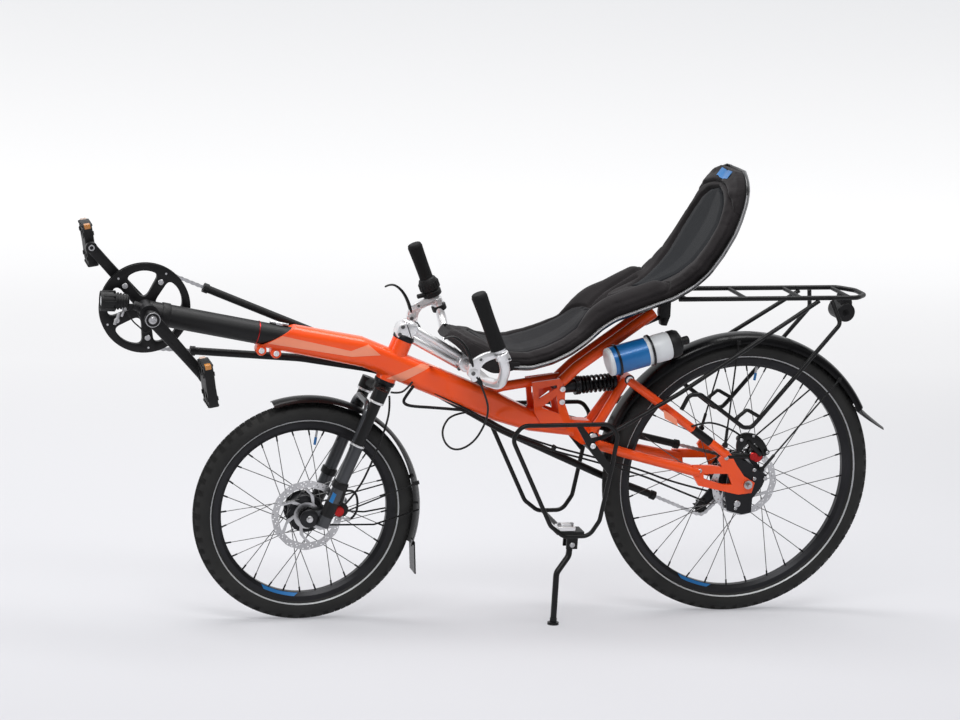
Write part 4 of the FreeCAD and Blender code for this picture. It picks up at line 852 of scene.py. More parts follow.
def eased(values, width=9):
    """Linear between stations, then rounded so that no station shows as a kink."""
    line = np.interp(fine_at, knot_at, values)
    padded = np.concatenate((2 * line[0] - line[width:0:-1], line,
                             2 * line[-1] - line[-2:-width - 2:-1]))
    kernel = np.hanning(2 * width + 1)
    return np.convolve(padded, kernel / kernel.sum(), mode="valid")


spine_x, spine_z, spine_slope = (eased(knots[:, i]) for i in range(3))
spine_half = eased(knots[:, 3] * 140, 5)
SKIN_LIFT = 0.0004  # metres, because a skin is laid in the leaning place


def seat_points(along, across, height):
    """Bicycle coordinates of places on the seat, as an array of rows."""
    x, z, slope, half = (np.interp(along, fine_at, line)
                         for line in (spine_x, spine_z, spine_slope, spine_half))
    lean = np.radians(slope)
    lift = height + 14 * (half / 140) * np.clip(np.abs(across) / half, 0, 1) ** 2
    return np.stack((x - np.sin(lean) * lift, across + 0 * x, z + np.cos(lean) * lift), axis=-1)


def laid_on(skin, target, wall, **settings):
    """Lays a thin skin on another object, in the leaning place, and gives it a wall."""
    skin.data.transform(MILLIMETRES)
    with_modifier(skin, "SHRINKWRAP", target=target, offset=SKIN_LIFT, **settings)
    skin.data.transform(UPRIGHT)
    with_modifier(skin, "SOLIDIFY", thickness=wall, offset=0)
    outward(skin)


def grid_mesh(name, points, closed=False):
    """Quads over rows of points; closed rows are rings, and the end ones are filled."""
    count, width = points.shape[:2]
    faces = []
    for low in range(0, (count - 1) * width, width):
        faces += [(low + c, low + (c + 1) % width, low + width + (c + 1) % width, low + width + c)
                  for c in range(width if closed else width - 1)]
    if closed:
        faces += [tuple(range(width)), tuple(range((count - 1) * width, count * width))]
    return new_mesh(name, points.reshape(-1, 3).tolist(), [], faces)


print("seat length along the spine", round(SEAT_LENGTH), "mm")

# %% [markdown]
# The shell is one curved sheet given a wall by Solidify. Its rim turns up round the cushion, and a thin
# pale grey bead runs along it as a painted highlight of the light that the glossy rim catches.

# %% Shell and its painted rim highlight
along_rows = np.linspace(0.5, SEAT_LENGTH - 0.5, 96)
across_columns = np.linspace(-1, 1, 33)
half_rows = np.interp(along_rows, fine_at, spine_half) - 1.5
grid_along = np.repeat(along_rows[:, None], 33, axis=1)
grid_across = half_rows[:, None] * across_columns[None, :]
rim = np.clip((np.abs(grid_across) - half_rows[:, None] + 9) / 9, 0, 1)
grid_height = 2.5 + 8 * rim ** 2
shell = grid_mesh("seat_shell_smooth", seat_points(grid_along, grid_across, grid_height))
with_modifier(shell, "SOLIDIFY", thickness=4.2, offset=0, use_even_offset=True)
bevelled(shell, 1.1, 50)
outward(shell)
clamp = plate([(798, 752), (822, 760), (824, 706), (817, 683), (803, 684), (796, 712)], -9, 9, 2)
clamp_pin = bar((766, 0, 686), (806, 0, 704), 5, 0.8)
clamp_bolts = [bar((x, -12, z), (x, 12, z), 4.5, 0.8, 12) for x, z in ((811, 743), (810, 696))]
put("seat_clamp", [clamp, clamp_pin] + clamp_bolts, "frame", moulded)
put("seat_shell_smooth", shell, "frame", shell_black, 50, ["seat_shell"])

# Painted highlight: a pale grey bead along each rim of the glossy shell stands in for the light it
# catches.
rim_highlight_lines = []
for side in (-1, 1):
    rim_height = np.full(along_rows.shape, 8.2)
    edge = seat_points(along_rows, side * (half_rows + 1.6), rim_height)
    rim_highlight_lines.append(pipe([Vector(p) for p in edge[4:-5:2]], 1.5, False, 3, 8))
rim_highlight_finish = finish("seat_rim_painted_highlight", (0.20, 0.20, 0.21), (0.28, 0.28, 0.29), (0.25, 0.35), coat=0.3)
put("seat_rim_highlight", rim_highlight_lines, "frame", rim_highlight_finish)

# %% [markdown]
# The cushion starts as a plain slab a little smaller than its place. Remeshed to small even cells and
# blown up by a cloth simulation with pressure, it gets the soft crown of real foam. How far a point may
# move is capped, so the cushion keeps to its space. Seams, wings and panels are pressed in afterwards by
# moving vertices, because the remesh would erase them.

# %% Cushion slab
pad_along = np.linspace(3.0, SEAT_LENGTH - 3.0, 110)
pad_half = np.interp(pad_along, fine_at, spine_half) - 6.5
angles = np.radians(np.linspace(0, 360, 49)[:-1])
loop_side = np.sign(np.cos(angles)) * np.abs(np.cos(angles)) ** 0.26
loop_up = np.sign(np.sin(angles)) * np.abs(np.sin(angles)) ** 0.42
pad_points = seat_points(np.repeat(pad_along[:, None], 48, axis=1),
                         pad_half[:, None] * loop_side[None, :],
                         20.5 + 14.0 * loop_up[None, :] + 0 * pad_half[:, None])
cushion = grid_mesh("seat_cushion_soft", pad_points / 1000, closed=True)
outward(cushion)
with_modifier(cushion, "REMESH", mode="VOXEL", voxel_size=0.005)
print("slab", len(cushion.data.vertices), "vertices")


def coordinates(mesh):
    values = np.empty(len(mesh.vertices) * 3)
    mesh.vertices.foreach_get("co", values)
    return values.reshape(-1, 3)


def move_to(mesh, points):
    mesh.vertices.foreach_set("co", points.ravel())
    mesh.update()


# %% Blow the cushion up with a cloth simulation
GROWTH_CAP = 0.007
CLOTH_FRAMES = 20
before = coordinates(cushion.data)
alone(cushion)
bpy.ops.object.modifier_add(type="CLOTH")
cloth = cushion.modifiers["Cloth"]
for key, value in (("quality", 5), ("mass", 0.3), ("tension_stiffness", 15),
                   ("compression_stiffness", 15), ("use_pressure", True),
                   ("uniform_pressure_force", 4.0)):
    setattr(cloth.settings, key, value)
cloth.settings.effector_weights.gravity = 0.0
cloth.point_cache.frame_start, cloth.point_cache.frame_end = 1, CLOTH_FRAMES
for number in range(1, CLOTH_FRAMES + 1):
    scene.frame_set(number)
bpy.ops.object.modifier_apply(modifier="Cloth")
scene.frame_set(1)
change = coordinates(cushion.data) - before
reach = np.linalg.norm(change, axis=1)
reach_capped = GROWTH_CAP * np.tanh(reach / GROWTH_CAP)
move_to(cushion.data, before + change * (reach_capped / np.maximum(reach, 1e-9))[:, None])
print("cloth moved points by up to", round(float(reach_capped.max()) * 1000, 1), "mm")
with_modifier(cushion, "SUBSURF", levels=1, render_levels=1)
cushion.data.transform(Matrix.Scale(1000, 4))

# %% [markdown]
# Each seam is a curve of (along, across) pairs. A vertex's distance to the nearest seam sets how deep it
# is pressed in, only on the cushion's upper side.

# %% Seams, wings and panels
SEAT_PANEL = [(46, 0), (60, 40), (92, 64), (135, 80), (185, 87), (240, 86), (300, 78), (350, 66),
              (384, 48), (402, 26), (412, 0)]
BACK_PANEL = [(505, 0), (530, 21), (570, 46), (620, 69), (680, 86), (735, 93), (785, 90), (828, 73),
              (853, 44), (866, 0)]
WING = [(398, 10), (430, 24), (470, 39), (510, 52), (548, 66), (572, 80), (578, 94), (568, 106),
        (548, 116)]
TONGUE = [(540, 45), (505, 34), (472, 24), (452, 12), (446, 0)]
CAP_EDGE = [(879, 0), (876, 34), (862, 72), (838, 102), (820, 124)]


def dense(curve, gap=1.5):
    """Points at an even gap along a rounded version of a short list of corners."""
    corners = np.array(curve, dtype=float)
    lengths = np.concatenate(([0.0], np.cumsum(np.hypot(*np.diff(corners, axis=0).T))))
    place = np.arange(0, lengths[-1], gap)
    line = np.stack([np.interp(place, lengths, corners[:, i]) for i in (0, 1)], axis=1)
    for _ in range(12):
        line[1:-1] = (line[:-2] + line[1:-1] * 2 + line[2:]) / 4
    return line


def tree_of(points):
    """A search tree over flat points."""
    tree = mathutils.kdtree.KDTree(len(points))
    for index, point in enumerate(points):
        tree.insert((point[0], point[1], 0), index)
    tree.balance()
    return tree


def nearest(tree_lines, places):
    """Distance from each (along, across) place to the nearest point of the lines."""
    tree = tree_of(np.concatenate(tree_lines))
    return np.array([tree.find((a, b, 0))[2] for a, b in places])


def inside(curve, along, across):
    """How far a place lies inside a symmetric panel outline, positive within."""
    line = dense(curve)
    order = np.argsort(line[:, 0])
    limit = np.interp(along, line[order, 0], line[order, 1], left=-30, right=-30)
    return limit - np.abs(across)


def rise(value, low, high):
    part = np.clip((value - low) / (high - low), 0, 1)
    return part * part * (3 - 2 * part)


shape = coordinates(cushion.data)
spine_mid = seat_points(fine_at, 0 * fine_at, 20.0)
spine_tree = tree_of(spine_mid[:, [0, 2]])
found = np.array([spine_tree.find((p[0], p[2], 0))[1] for p in shape])
at = fine_at[found]
lean = np.radians(spine_slope[found])
off = shape - spine_mid[found]
at = at + off[:, 0] * np.cos(lean) + off[:, 2] * np.sin(lean)
level = 20 - off[:, 0] * np.sin(lean) + off[:, 2] * np.cos(lean)
half_here = spine_half[found]
level = level - 14 * (half_here / 140) * np.clip(np.abs(shape[:, 1]) / half_here, 0, 1) ** 2
across = shape[:, 1]
upper = rise(level, 22, 31)
wing_part = rise(at, 330, 440) * (1 - rise(at, 540, 585))
wing_centre = np.interp(at, [330, 400, 470, 580], [84, 62, 64, 88])
wings = 16 * wing_part * np.exp(-((np.abs(across) - wing_centre) / 27) ** 2)
channel = -12 * rise(at, 396, 420) * (1 - rise(at, 436, 452)) * np.exp(-(across / 17) ** 2)
tongue = 5 * rise(at, 444, 460) * (1 - rise(at, 500, 540)) * np.exp(-(across / 26) ** 4)
in_back, in_seat = inside(BACK_PANEL, at, across), inside(SEAT_PANEL, at, across)
ring = 4 * rise(at, 560, 640) * (1 - rise(at, 860, 880)) * rise(-in_back, -6, 10)
panels = 2.5 * (rise(in_back, 2, 26) + rise(in_seat, 2, 26))
cap_limit = np.interp(np.abs(across), [0, 34, 72, 102, 124], [879, 876, 862, 838, 820])
capped = rise(at, cap_limit - 1.5, cap_limit + 1.5)
seam_lines = []
for curve in (SEAT_PANEL, BACK_PANEL, WING, TONGUE, CAP_EDGE):
    line = dense(curve)
    seam_lines += [line, line * (1, -1)]
gap = nearest(seam_lines, np.stack((at, across), axis=1))
seams = -6.0 * np.exp(-(gap / 3.4) ** 2)
near_side = rise(np.abs(across), half_here * 0.8, half_here * 0.9)
side_seam = -2.0 * np.exp(-((level - 26) / 2.0) ** 2) * near_side
normals = np.empty(len(cushion.data.vertices) * 3)
cushion.data.vertices.foreach_get("normal", normals)
normals = normals.reshape(-1, 3)
push = upper * (wings + channel + tongue + ring + panels + seams) + 2.2 * capped + side_seam
move_to(cushion.data, shape + normals * push[:, None])
inner = np.maximum(rise(in_back, 0, 3), 0.6 * rise(in_seat, 0, 3)) * upper
tint = cushion.data.attributes.new("panel", "FLOAT", "POINT")
tint.data.foreach_set("value", inner.astype(np.float32))
print("cushion", len(cushion.data.polygons), "faces")

# %% Fabric and the plain blue patch at the head
fabric = finish("spacer_fabric", (0.012, 0.0105, 0.0112), (0.022, 0.0195, 0.0205), (0.8, 0.95),
                grain=None, specular=0.12)
weave = add_node(fabric.node_tree, "TexVoronoi", Scale=420)
weave_place = add_node(fabric.node_tree, "TexCoord")
wire(weave_place, "Object", weave, "Vector")
bump(fabric, weave.outputs["Distance"], 0.0006, 0.6)
panel_value = add_node(fabric.node_tree, "Attribute")
panel_value.attribute_name = "panel"
blend_colour = add_node(fabric.node_tree, "Mix")
blend_colour.data_type = "RGBA"
blend_colour.inputs["B"].default_value = (0.007, 0.008, 0.010, 1)
base_ramp = shader_of(fabric).inputs["Base Color"].links[0].from_node
wire(panel_value, "Fac", blend_colour, "Factor")
wire(base_ramp, "Color", blend_colour, "A")
wire(blend_colour, "Result", shader_of(fabric), "Base Color")
shader_of(fabric).inputs["Sheen Weight"].default_value = 0.12
shader_of(fabric).inputs["Sheen Roughness"].default_value = 0.4
put("seat_cushion_soft", cushion, "frame", fabric, 60, ["seat_cushion"])

# %% [markdown]
# At the nose the cover wraps down over the shell. A strip of places runs round the nose from one side to
# the other, and each carries a short curved apron; near its ends the apron fades into the cushion.

# %% Cover over the nose
APRON_END, APRON_DROP = 165.0, 21.0
apron_run = np.concatenate((np.linspace(APRON_END, 4, 40), np.full(15, 2.0),
                            np.linspace(4, APRON_END, 40)))
run_half = np.interp(apron_run, fine_at, spine_half) - 2
apron_side = np.concatenate((-run_half[:40], np.linspace(-1, 1, 17)[1:-1] * run_half[40],
                             run_half[-40:]))
apron_run[40:-40] -= 5 * (1 - np.linspace(-1, 1, 17)[1:-1] ** 2)
fall = APRON_DROP * (0.2 + 0.8 * rise(apron_run, 0, 75)) * (1 - rise(apron_run, 100, APRON_END))
outward_by = 3.4 * (1 - rise(apron_run, 100, APRON_END))
rows = []
for share in np.linspace(0, 1, 12):
    puff = math.sin(math.pi * (0.25 + 0.75 * share))
    rows.append(seat_points(apron_run, apron_side + np.sign(apron_side) * (outward_by + 2.2) * puff,
                            19 - (16 + fall) * share))
apron = grid_mesh("seat_nose_cover", np.stack(rows))
with_modifier(apron, "SOLIDIFY", thickness=2.4, offset=0)
with_modifier(apron, "SUBSURF", levels=1, render_levels=1)
outward(apron)
put("seat_nose_cover", apron, "frame", fabric, 60)

# %% The plain patch at the head
patch_at, patch_across = np.meshgrid(np.linspace(906, 926, 15), np.linspace(-32, 32, 35), indexing="ij")
round_off = 1 - np.clip((np.abs(patch_across) - 26) / 8, 0, 1) ** 2 * 0.45
patch_rows = seat_points(916 + (patch_at - 916) * round_off, patch_across, 60.0)
patch = grid_mesh("seat_patch", patch_rows)
laid_on(patch, cushion, 0.8, wrap_method="NEAREST_SURFACEPOINT", wrap_mode="ABOVE_SURFACE")
put("seat_patch", patch, "frame", sky_blue, 60)

# %% [markdown]
# ## Chainring, cranks and pedals
# The chainring runs between two dark guard plates with five rounded windows, and its toothed edge shows
# only from above. Each plate is an outline pulled out to its thickness, with the windows cut through.
# Corner cutting turns a short list of corners into the rounded outline of a machined part.

# %% Rounded outlines
def rounded(corners, cuts=3):
    """Cuts the corners of a closed outline again and again until they are round."""
    points = np.array(corners, dtype=float)
    for _ in range(cuts):
        following = np.roll(points, -1, axis=0)
        points = np.stack((points * 0.75 + following * 0.25, points * 0.25 + following * 0.75), axis=1)
        points = points.reshape(-1, 2)
    return [tuple(p) for p in points]


def flat(points):
    """The (x, z) pairs of points in the bicycle's middle plane."""
    return [(p.x, p.z) for p in points]


print("a square cut three times has", len(rounded([(0, 0), (1, 0), (1, 1), (0, 1)])), "corners")

# %% Chainring with its two guards
RING_PITCH = 12.7 / (2 * math.sin(math.pi / 44))
CHAIN_Y = 45.0
SPIDER = (61, 133, 205, 277, 349)
windows = []
for turn in (25, 97, 169, 241, 313):
    corners = [around(CRANK_AXLE, 27, turn - 14), around(CRANK_AXLE, 50, turn - 23),
               around(CRANK_AXLE, 80, turn - 27), around(CRANK_AXLE, 84, turn - 9),
               around(CRANK_AXLE, 84, turn + 9), around(CRANK_AXLE, 80, turn + 27),
               around(CRANK_AXLE, 50, turn + 23), around(CRANK_AXLE, 27, turn + 14)]
    windows.append(plate(rounded(flat(corners)), 30, 60, 0))
window_tool = join("windows", windows)


def windowed(obj):
    """Cuts the five windows into one plate and bevels its edges."""
    return bevelled(cut(obj, window_tool), 0.5, 40)


circle = [around(CRANK_AXLE, 99, 3 * i) for i in range(120)]
guards = [windowed(plate(flat(circle), 37.6, 40.2, 0)), windowed(plate(flat(circle), 50, 52, 0))]
teeth = []
for tooth in range(44):
    for share, lift in ((0.0, -3.4), (0.18, -2.6), (0.38, 3.0), (0.5, 4.2), (0.62, 3.0), (0.82, -2.6)):
        teeth.append(around(CRANK_AXLE, RING_PITCH + lift, 360 * (tooth + share) / 44))
toothed = windowed(plate(flat(teeth), CHAIN_Y - 1.4, CHAIN_Y + 1.4, 0))
spacers = [bar(around(CRANK_AXLE, 66, a, 39), around(CRANK_AXLE, 66, a, 51), 5, 0.3)
           for a in SPIDER]
bpy.data.objects.remove(window_tool)
put("chainring_guards", guards + spacers, "cranks", black_coat,
    replaces=["chain_guard"])
put("chainring_teeth", toothed, "cranks", dark_steel, replaces=["chainring"])
ring_bolts = []
for turn in SPIDER:
    place = around(CRANK_AXLE, 66, turn, 37.6)
    ring_bolts.append(lathe([(0, 0.01), (0, 6.4), (-1.2, 6.4), (-2.2, 5.4), (-2.2, 3.0), (-1.0, 3.0),
                             (-1.0, 0.01)], place, RIGHTWARD, 20))
    hole = around(CRANK_AXLE, 88, turn, 37.4)
    ring_bolts.append(lathe([(0, 0.01), (0, 2.4), (-0.6, 2.4), (-0.6, 0.01)], hole, RIGHTWARD, 12))
put("chainring_bolts", ring_bolts, "cranks", brushed)
print("chainring pitch radius", round(RING_PITCH, 1), "mm")

# %% [markdown]
# A forged crank tapers from a round boss on the spindle to a smaller eye for the pedal. Its long edges
# are well rounded, and a shallow groove runs down its outer face.

# %% Cranks
CRANK_REACH = 170.0
CRANK_TURN = math.radians(47)
CRANK_Y = 76.0


def crank_end(side):
    return Vector((CRANK_AXLE.x - side * math.cos(CRANK_TURN) * CRANK_REACH, side * CRANK_Y,
                   CRANK_AXLE.z + side * math.sin(CRANK_TURN) * CRANK_REACH))


for side, name in SIDES:
    end = crank_end(side)
    near = CRANK_AXLE
    far = Vector((end.x, 0, end.z))
    run = (far - near).normalized()
    over = Vector((-run.z, 0, run.x))
    corners = [near + over * 15 - run * 4, near + over * 14 + run * 30, near + over * 11.5 + run * 110,
               far + over * 12, far + over * 9 + run * 10, far - over * 9 + run * 10, far - over * 12,
               near - over * 11.5 + run * 110, near - over * 14 + run * 30, near - over * 15 - run * 4]
    arm = plate(rounded(flat(corners), 2), side * CRANK_Y - 6.2, side * CRANK_Y + 6.2, 3.4)
    groove = plate(rounded(flat([near + over * 5 + run * 32, far + over * 4 - run * 26,
                                 far - over * 4 - run * 26, near - over * 5 + run * 32]), 3),
                   side * (CRANK_Y + 4.6), side * (CRANK_Y + 9), 0)
    cut_out(arm, [groove])
    boss = lathe([(-9, 0.01), (-9, 15), (-7.4, 16.6), (7, 16.6), (8.6, 15), (8.6, 10), (6.4, 9.4),
                  (6.4, 0.01)], near + RIGHTWARD * (side * CRANK_Y), RIGHTWARD * side, 48)
    eye = lathe(tube_profile(-6.8, 6.8, 7.4, 12.8, 1.4, 1.2), end, RIGHTWARD, 40)
    parts = [arm, boss, eye]
    if side > 0:
        parts.append(bar(near - RIGHTWARD * 67, near + RIGHTWARD * 70, 12, 0.5, 40))
        parts.append(bar(near + RIGHTWARD * 43.5, near + RIGHTWARD * 70, 16, 1, 40))
        for turn in SPIDER:
            foot = around(CRANK_AXLE, 14, turn, 47)
            tip = around(CRANK_AXLE, 68, turn, 47)
            flank = (tip - foot).normalized().cross(RIGHTWARD)
            arm_line = [foot + flank * 11, tip + flank * 6, tip - flank * 6, foot - flank * 11]
            parts.append(plate(flat(arm_line), 46.6, 49.8, 0.8))
    put(name + "_crank_arm", parts, "cranks", black_coat, 40,
        replaces=[name + "_crank"])
    washer = lathe([(0, 5), (0, 9.2), (1.4, 9.2), (1.8, 8.6), (1.8, 5), (0, 5)],
                   near + RIGHTWARD * (side * (CRANK_Y + 6.4)), RIGHTWARD * side, 36)
    bolt = lathe([(0, 0.01), (0, 6.2), (2.6, 6.2), (3.4, 5.2), (3.4, 3.4), (1.4, 3.2), (1.4, 0.01)],
                 near + RIGHTWARD * (side * (CRANK_Y + 6.4)), RIGHTWARD * side, 30)
    rim_line = lathe([(0, 14.4), (0, 16.0), (0.5, 15.8), (0.5, 14.6), (0, 14.4)],
                     near + RIGHTWARD * (side * (CRANK_Y + 8.4)), RIGHTWARD * side, 48)
    put(name + "_crank_bolt", [washer, bolt, rim_line], "cranks", brushed)

# %% [markdown]
# A platform pedal is a cage round an axle barrel. Its treads carry small teeth that hold the shoe, and an
# amber reflector sits in each end.

# %% Pedals
PEDAL_HALF, PEDAL_WIDE, PEDAL_THICK = 49.0, 86.0, 12.0
for side, name in SIDES:
    end = crank_end(side)
    inner_y = CRANK_Y + 12
    middle = inner_y + PEDAL_WIDE / 2
    w, h = PEDAL_WIDE / 2, PEDAL_HALF
    outline = [(-w, -h + 10), (-w + 8, -h), (w - 8, -h), (w, -h + 10), (w, -14), (w - 5, 0), (w, 14),
               (w, h - 10), (w - 8, h), (-w + 8, h), (-w, h - 10), (-w, 14), (-w + 3, 0), (-w, -14)]
    cage = plate(rounded(outline, 1), -PEDAL_THICK + 2, PEDAL_THICK - 2, 1.2)
    holes = []
    for z in (-1, 1):
        for y in (-1, 1):
            gap = [(y * 5, z * 13), (y * (w - 11), z * 16), (y * (w - 11), z * (h - 12)),
                   (y * 5, z * (h - 12))]
            holes.append(plate(rounded(gap, 2), -30, 30, 0))
    cut_out(cage, holes)
    teeth = []
    for face in (-1, 1):
        for z in (-1, 1):
            for place in (-30, -15, 0, 15, 30):
                tooth = block((place, face * (PEDAL_THICK - 1.2), z * (h - 5)), (7, 2.4, 5), 0.7)
                teeth.append(tooth)
        for y in (-1, 1):
            for place in (-27, 27):
                teeth.append(block((y * (w - 5), face * (PEDAL_THICK - 1.2), place), (5, 2.4, 9), 0.7))
    barrel = bar((-w + 2, 0, 0), (w - 2, 0, 0), 10, 1.5, 32)
    lens = block((0, 0, h - 6), (2 * w - 2, 13, 10), 0.8)
    turn = (Matrix.Translation((end.x, side * middle, end.z)) @ turned_y(-11)
            @ Matrix.Rotation(math.radians(90), 4, "Z"))
    for part in [cage, barrel, lens] + teeth:
        part.data.transform(turn)
    put(name + "_pedal_cage", [cage, barrel] + teeth, "pedal_" + name, moulded,
        replaces=[name + "_pedal"])
    put(name + "_pedal_reflectors", lens, "pedal_" + name, amber)
    axle = lathe([(-7.2, 4.2), (-7.2, 6.4), (-6.4, 7), (16, 7), (16, 0.01), (-4, 0.01), (-4, 3.8),
                  (-7.2, 4.2)], end, RIGHTWARD * side, 24)
    put(name + "_pedal_axle", axle, "pedal_" + name, brushed)

# %% [markdown]
# ## Chain
# A roller chain is two kinds of link taking turns: narrow ones that hold the rollers and wide ones
# outside them. One link of each kind is made once, and copied along the chain's path at its 12.7 mm
# pitch. The path is the same set of straight runs and arcs as the CAD chain; inside the guide tubes no
# link would be seen, so there are none.

# %% The chain's path
SPROCKET_PITCH = 12.7 / (2 * math.sin(math.pi / 16))
IDLER, IDLER_RADIUS = Vector((400, 0, 529)), 28.0
TENSIONER, TENSIONER_RADIUS = Vector((958, 0, 240)), 20.0


def tangent(centre_a, radius_a, centre_b, radius_b):
    """Where a straight run touches two wheels; a radius is positive where it passes over its wheel."""
    dx, dz = centre_b[0] - centre_a[0], centre_b[2] - centre_a[2]
    swing = math.atan2(dz, dx) + math.acos((radius_a - radius_b) / math.hypot(dx, dz))
    unit = Vector((math.cos(swing), 0, math.sin(swing)))
    return (Vector((centre_a[0], 0, centre_a[2])) + unit * radius_a,
            Vector((centre_b[0], 0, centre_b[2])) + unit * radius_b)


def arc(centre, radius, start, end, way):
    """Points round a wheel from one contact point to another; way is 1 for a rising angle."""
    a = math.atan2(start.z - centre.z, start.x - centre.x)
    b = math.atan2(end.z - centre.z, end.x - centre.x)
    sweep = (b - a) % math.tau if way > 0 else -((a - b) % math.tau)
    count = max(3, int(abs(sweep) * radius / 3))
    return [around(centre, radius, math.degrees(a + sweep * i / count)) for i in range(count + 1)]


top_front, idler_in = tangent(CRANK_AXLE, RING_PITCH, IDLER, -IDLER_RADIUS)
idler_out, sprocket_in = tangent(IDLER, -IDLER_RADIUS, REAR_AXLE, SPROCKET_PITCH)
LOW_FRONT, LOW_FRONT_NEXT = Vector((-264, 0, 604)), Vector((-18, 0, 590))
LOW_REAR, LOW_REAR_NEXT = Vector((842, 0, 266)), Vector((712, 0, 315))
ring_low = tangent(CRANK_AXLE, -RING_PITCH, LOW_FRONT, 0)[0]
pulley_low = tangent(LOW_REAR, 0, TENSIONER, -TENSIONER_RADIUS)[1]
sprocket_out, pulley_in = tangent(REAR_AXLE, SPROCKET_PITCH, TENSIONER, TENSIONER_RADIUS)


def into(mouth, following, depth=12.0):
    return mouth + (following - mouth).normalized() * depth


upper = [top_front.lerp(idler_in, 0.13), top_front.lerp(idler_in, 0.95)]
lower = [idler_out.lerp(sprocket_in, 0.08), idler_out.lerp(sprocket_in, 0.78)]
RUNS = {
    "ring": [into(upper[0], upper[1])] + arc(CRANK_AXLE, RING_PITCH, top_front, ring_low, 1)
            + [into(LOW_FRONT, LOW_FRONT_NEXT)],
    "idler": [into(upper[1], upper[0])] + arc(IDLER, IDLER_RADIUS, idler_in, idler_out, 1)
             + [into(lower[0], lower[1])],
    "rear": [into(lower[1], lower[0])] + arc(REAR_AXLE, SPROCKET_PITCH, sprocket_in, sprocket_out, -1)
            + arc(TENSIONER, TENSIONER_RADIUS, pulley_in, pulley_low, -1)
            + [into(LOW_REAR, LOW_REAR_NEXT)],
}
print("points on each visible run of chain:", {name: len(run) for name, run in RUNS.items()})

# %% Links along the path
LINK = 12.7


def link_plates(y):
    """Two side plates with waisted sides, 12.7 mm between their pins."""
    half = []
    for degrees in range(90, 271, 30):
        half.append((4.2 * math.cos(math.radians(degrees)), 4.2 * math.sin(math.radians(degrees))))
    outline = half + [(LINK / 2, -2.9)]
    outline += [(LINK - x, z) for x, z in reversed(half)] + [(LINK / 2, 2.9)]
    return [plate(outline, y - 0.4, y + 0.4, 0), plate(outline, -y - 0.4, -y + 0.4, 0)]


narrow = join("narrow", link_plates(1.7) + [bar((0, -1.4, 0), (0, 1.4, 0), 3.7, 0, 10),
                                            bar((LINK, -1.4, 0), (LINK, 1.4, 0), 3.7, 0, 10)])
wide = join("wide", link_plates(2.6) + [bar((0, -3.2, 0), (0, 3.2, 0), 1.7, 0, 8),
                                        bar((LINK, -3.2, 0), (LINK, 3.2, 0), 1.7, 0, 8)])
link_parts = []
for name, run in RUNS.items():
    line = np.array([(p.x, p.z) for p in run])
    gaps = np.concatenate(([0.0], np.cumsum(np.hypot(*np.diff(line, axis=0).T))))
    pins = np.arange(0, gaps[-1], LINK)
    places = np.stack([np.interp(pins, gaps, line[:, i]) for i in (0, 1)], axis=1)
    for number in range(len(places) - 1):
        (x, z), (next_x, next_z) = places[number], places[number + 1]
        slope = math.atan2(next_z - z, next_x - x)
        twin = new_object("link", (narrow if number % 2 else wide).data.copy())
        twin.data.transform(Matrix.Translation((x, CHAIN_Y, z)) @ Matrix.Rotation(-slope, 4, "Y"))
        link_parts.append(twin)
for source in (narrow, wide):
    bpy.data.objects.remove(source)
print("chain:", len(link_parts), "links")
put("roller_chain", link_parts, "frame", brushed, 25, ["chain"])

# %% [markdown]
# ## Idler and chain tensioner
# The idler is a grooved wheel that carries the driven run of chain under the main tube. The tensioner
# behind it holds a small toothed wheel between two dark side plates, and takes the shift cable.

# %% Idler
idler_wheel = lathe([(-5, 0.01), (-5, 22.5), (-3.6, 23.4), (-2.8, 21.6), (2.8, 21.6), (3.6, 23.4),
                     (5, 22.5), (5, 0.01)], IDLER + RIGHTWARD * CHAIN_Y, RIGHTWARD, 60)
idler_hub = lathe([(-25, 0.01), (-25, 6), (-5, 6), (5, 7.5), (8, 7.5), (9, 6.6), (9, 0.01)],
                  IDLER + RIGHTWARD * CHAIN_Y, RIGHTWARD, 32)
put("idler_wheel", idler_wheel, "frame", moulded, replaces=["chain_idler"])
put("idler_bolt", idler_hub, "frame", brushed)

# %% Tensioner
pulley_teeth = []
for tooth in range(10):
    for share, lift in ((0.0, -2.6), (0.25, -2.0), (0.42, 2.6), (0.58, 2.6), (0.75, -2.0)):
        pulley_teeth.append(around(TENSIONER, TENSIONER_RADIUS - 2.6 + lift, 36 * (tooth + share)))
pulley = plate(flat(pulley_teeth), CHAIN_Y - 1.3, CHAIN_Y + 1.3, 0.3)
hub = lathe([(-4.2, 0.01), (-4.2, 9), (-1.3, 12), (1.3, 12), (4.2, 9), (4.2, 0.01)],
            TENSIONER + RIGHTWARD * CHAIN_Y, RIGHTWARD, 32)
cage = plate(rounded([(TENSIONER.x - 15, TENSIONER.z - 9), (TENSIONER.x + 11, TENSIONER.z - 15),
                      (REAR_AXLE.x - 8, REAR_AXLE.z - 40), (REAR_AXLE.x - 29, REAR_AXLE.z - 24)], 2),
             CHAIN_Y + 5, CHAIN_Y + 8, 0.8)
box = plate([(980, 271), (1021, 271), (1025, 239), (983, 247)], CHAIN_Y + 8, CHAIN_Y + 21.5, 3)
put("tensioner_wheel", [pulley, hub], "frame", moulded,
    replaces=["chain_tensioner"])
arm_at = REAR_AXLE + Vector((-18, 0, -33))
arm_pin = bar(arm_at + RIGHTWARD * (CHAIN_Y + 5), arm_at + RIGHTWARD * 67, 7, 0.8)
wheel_pin = bar(TENSIONER + RIGHTWARD * (CHAIN_Y - 3), TENSIONER + RIGHTWARD * (CHAIN_Y + 9.5), 4.2, 0.6)
put("tensioner_arm", [cage, arm_pin], "frame", black_anodised)
put("tensioner_box", [box, wheel_pin], "frame", brushed)
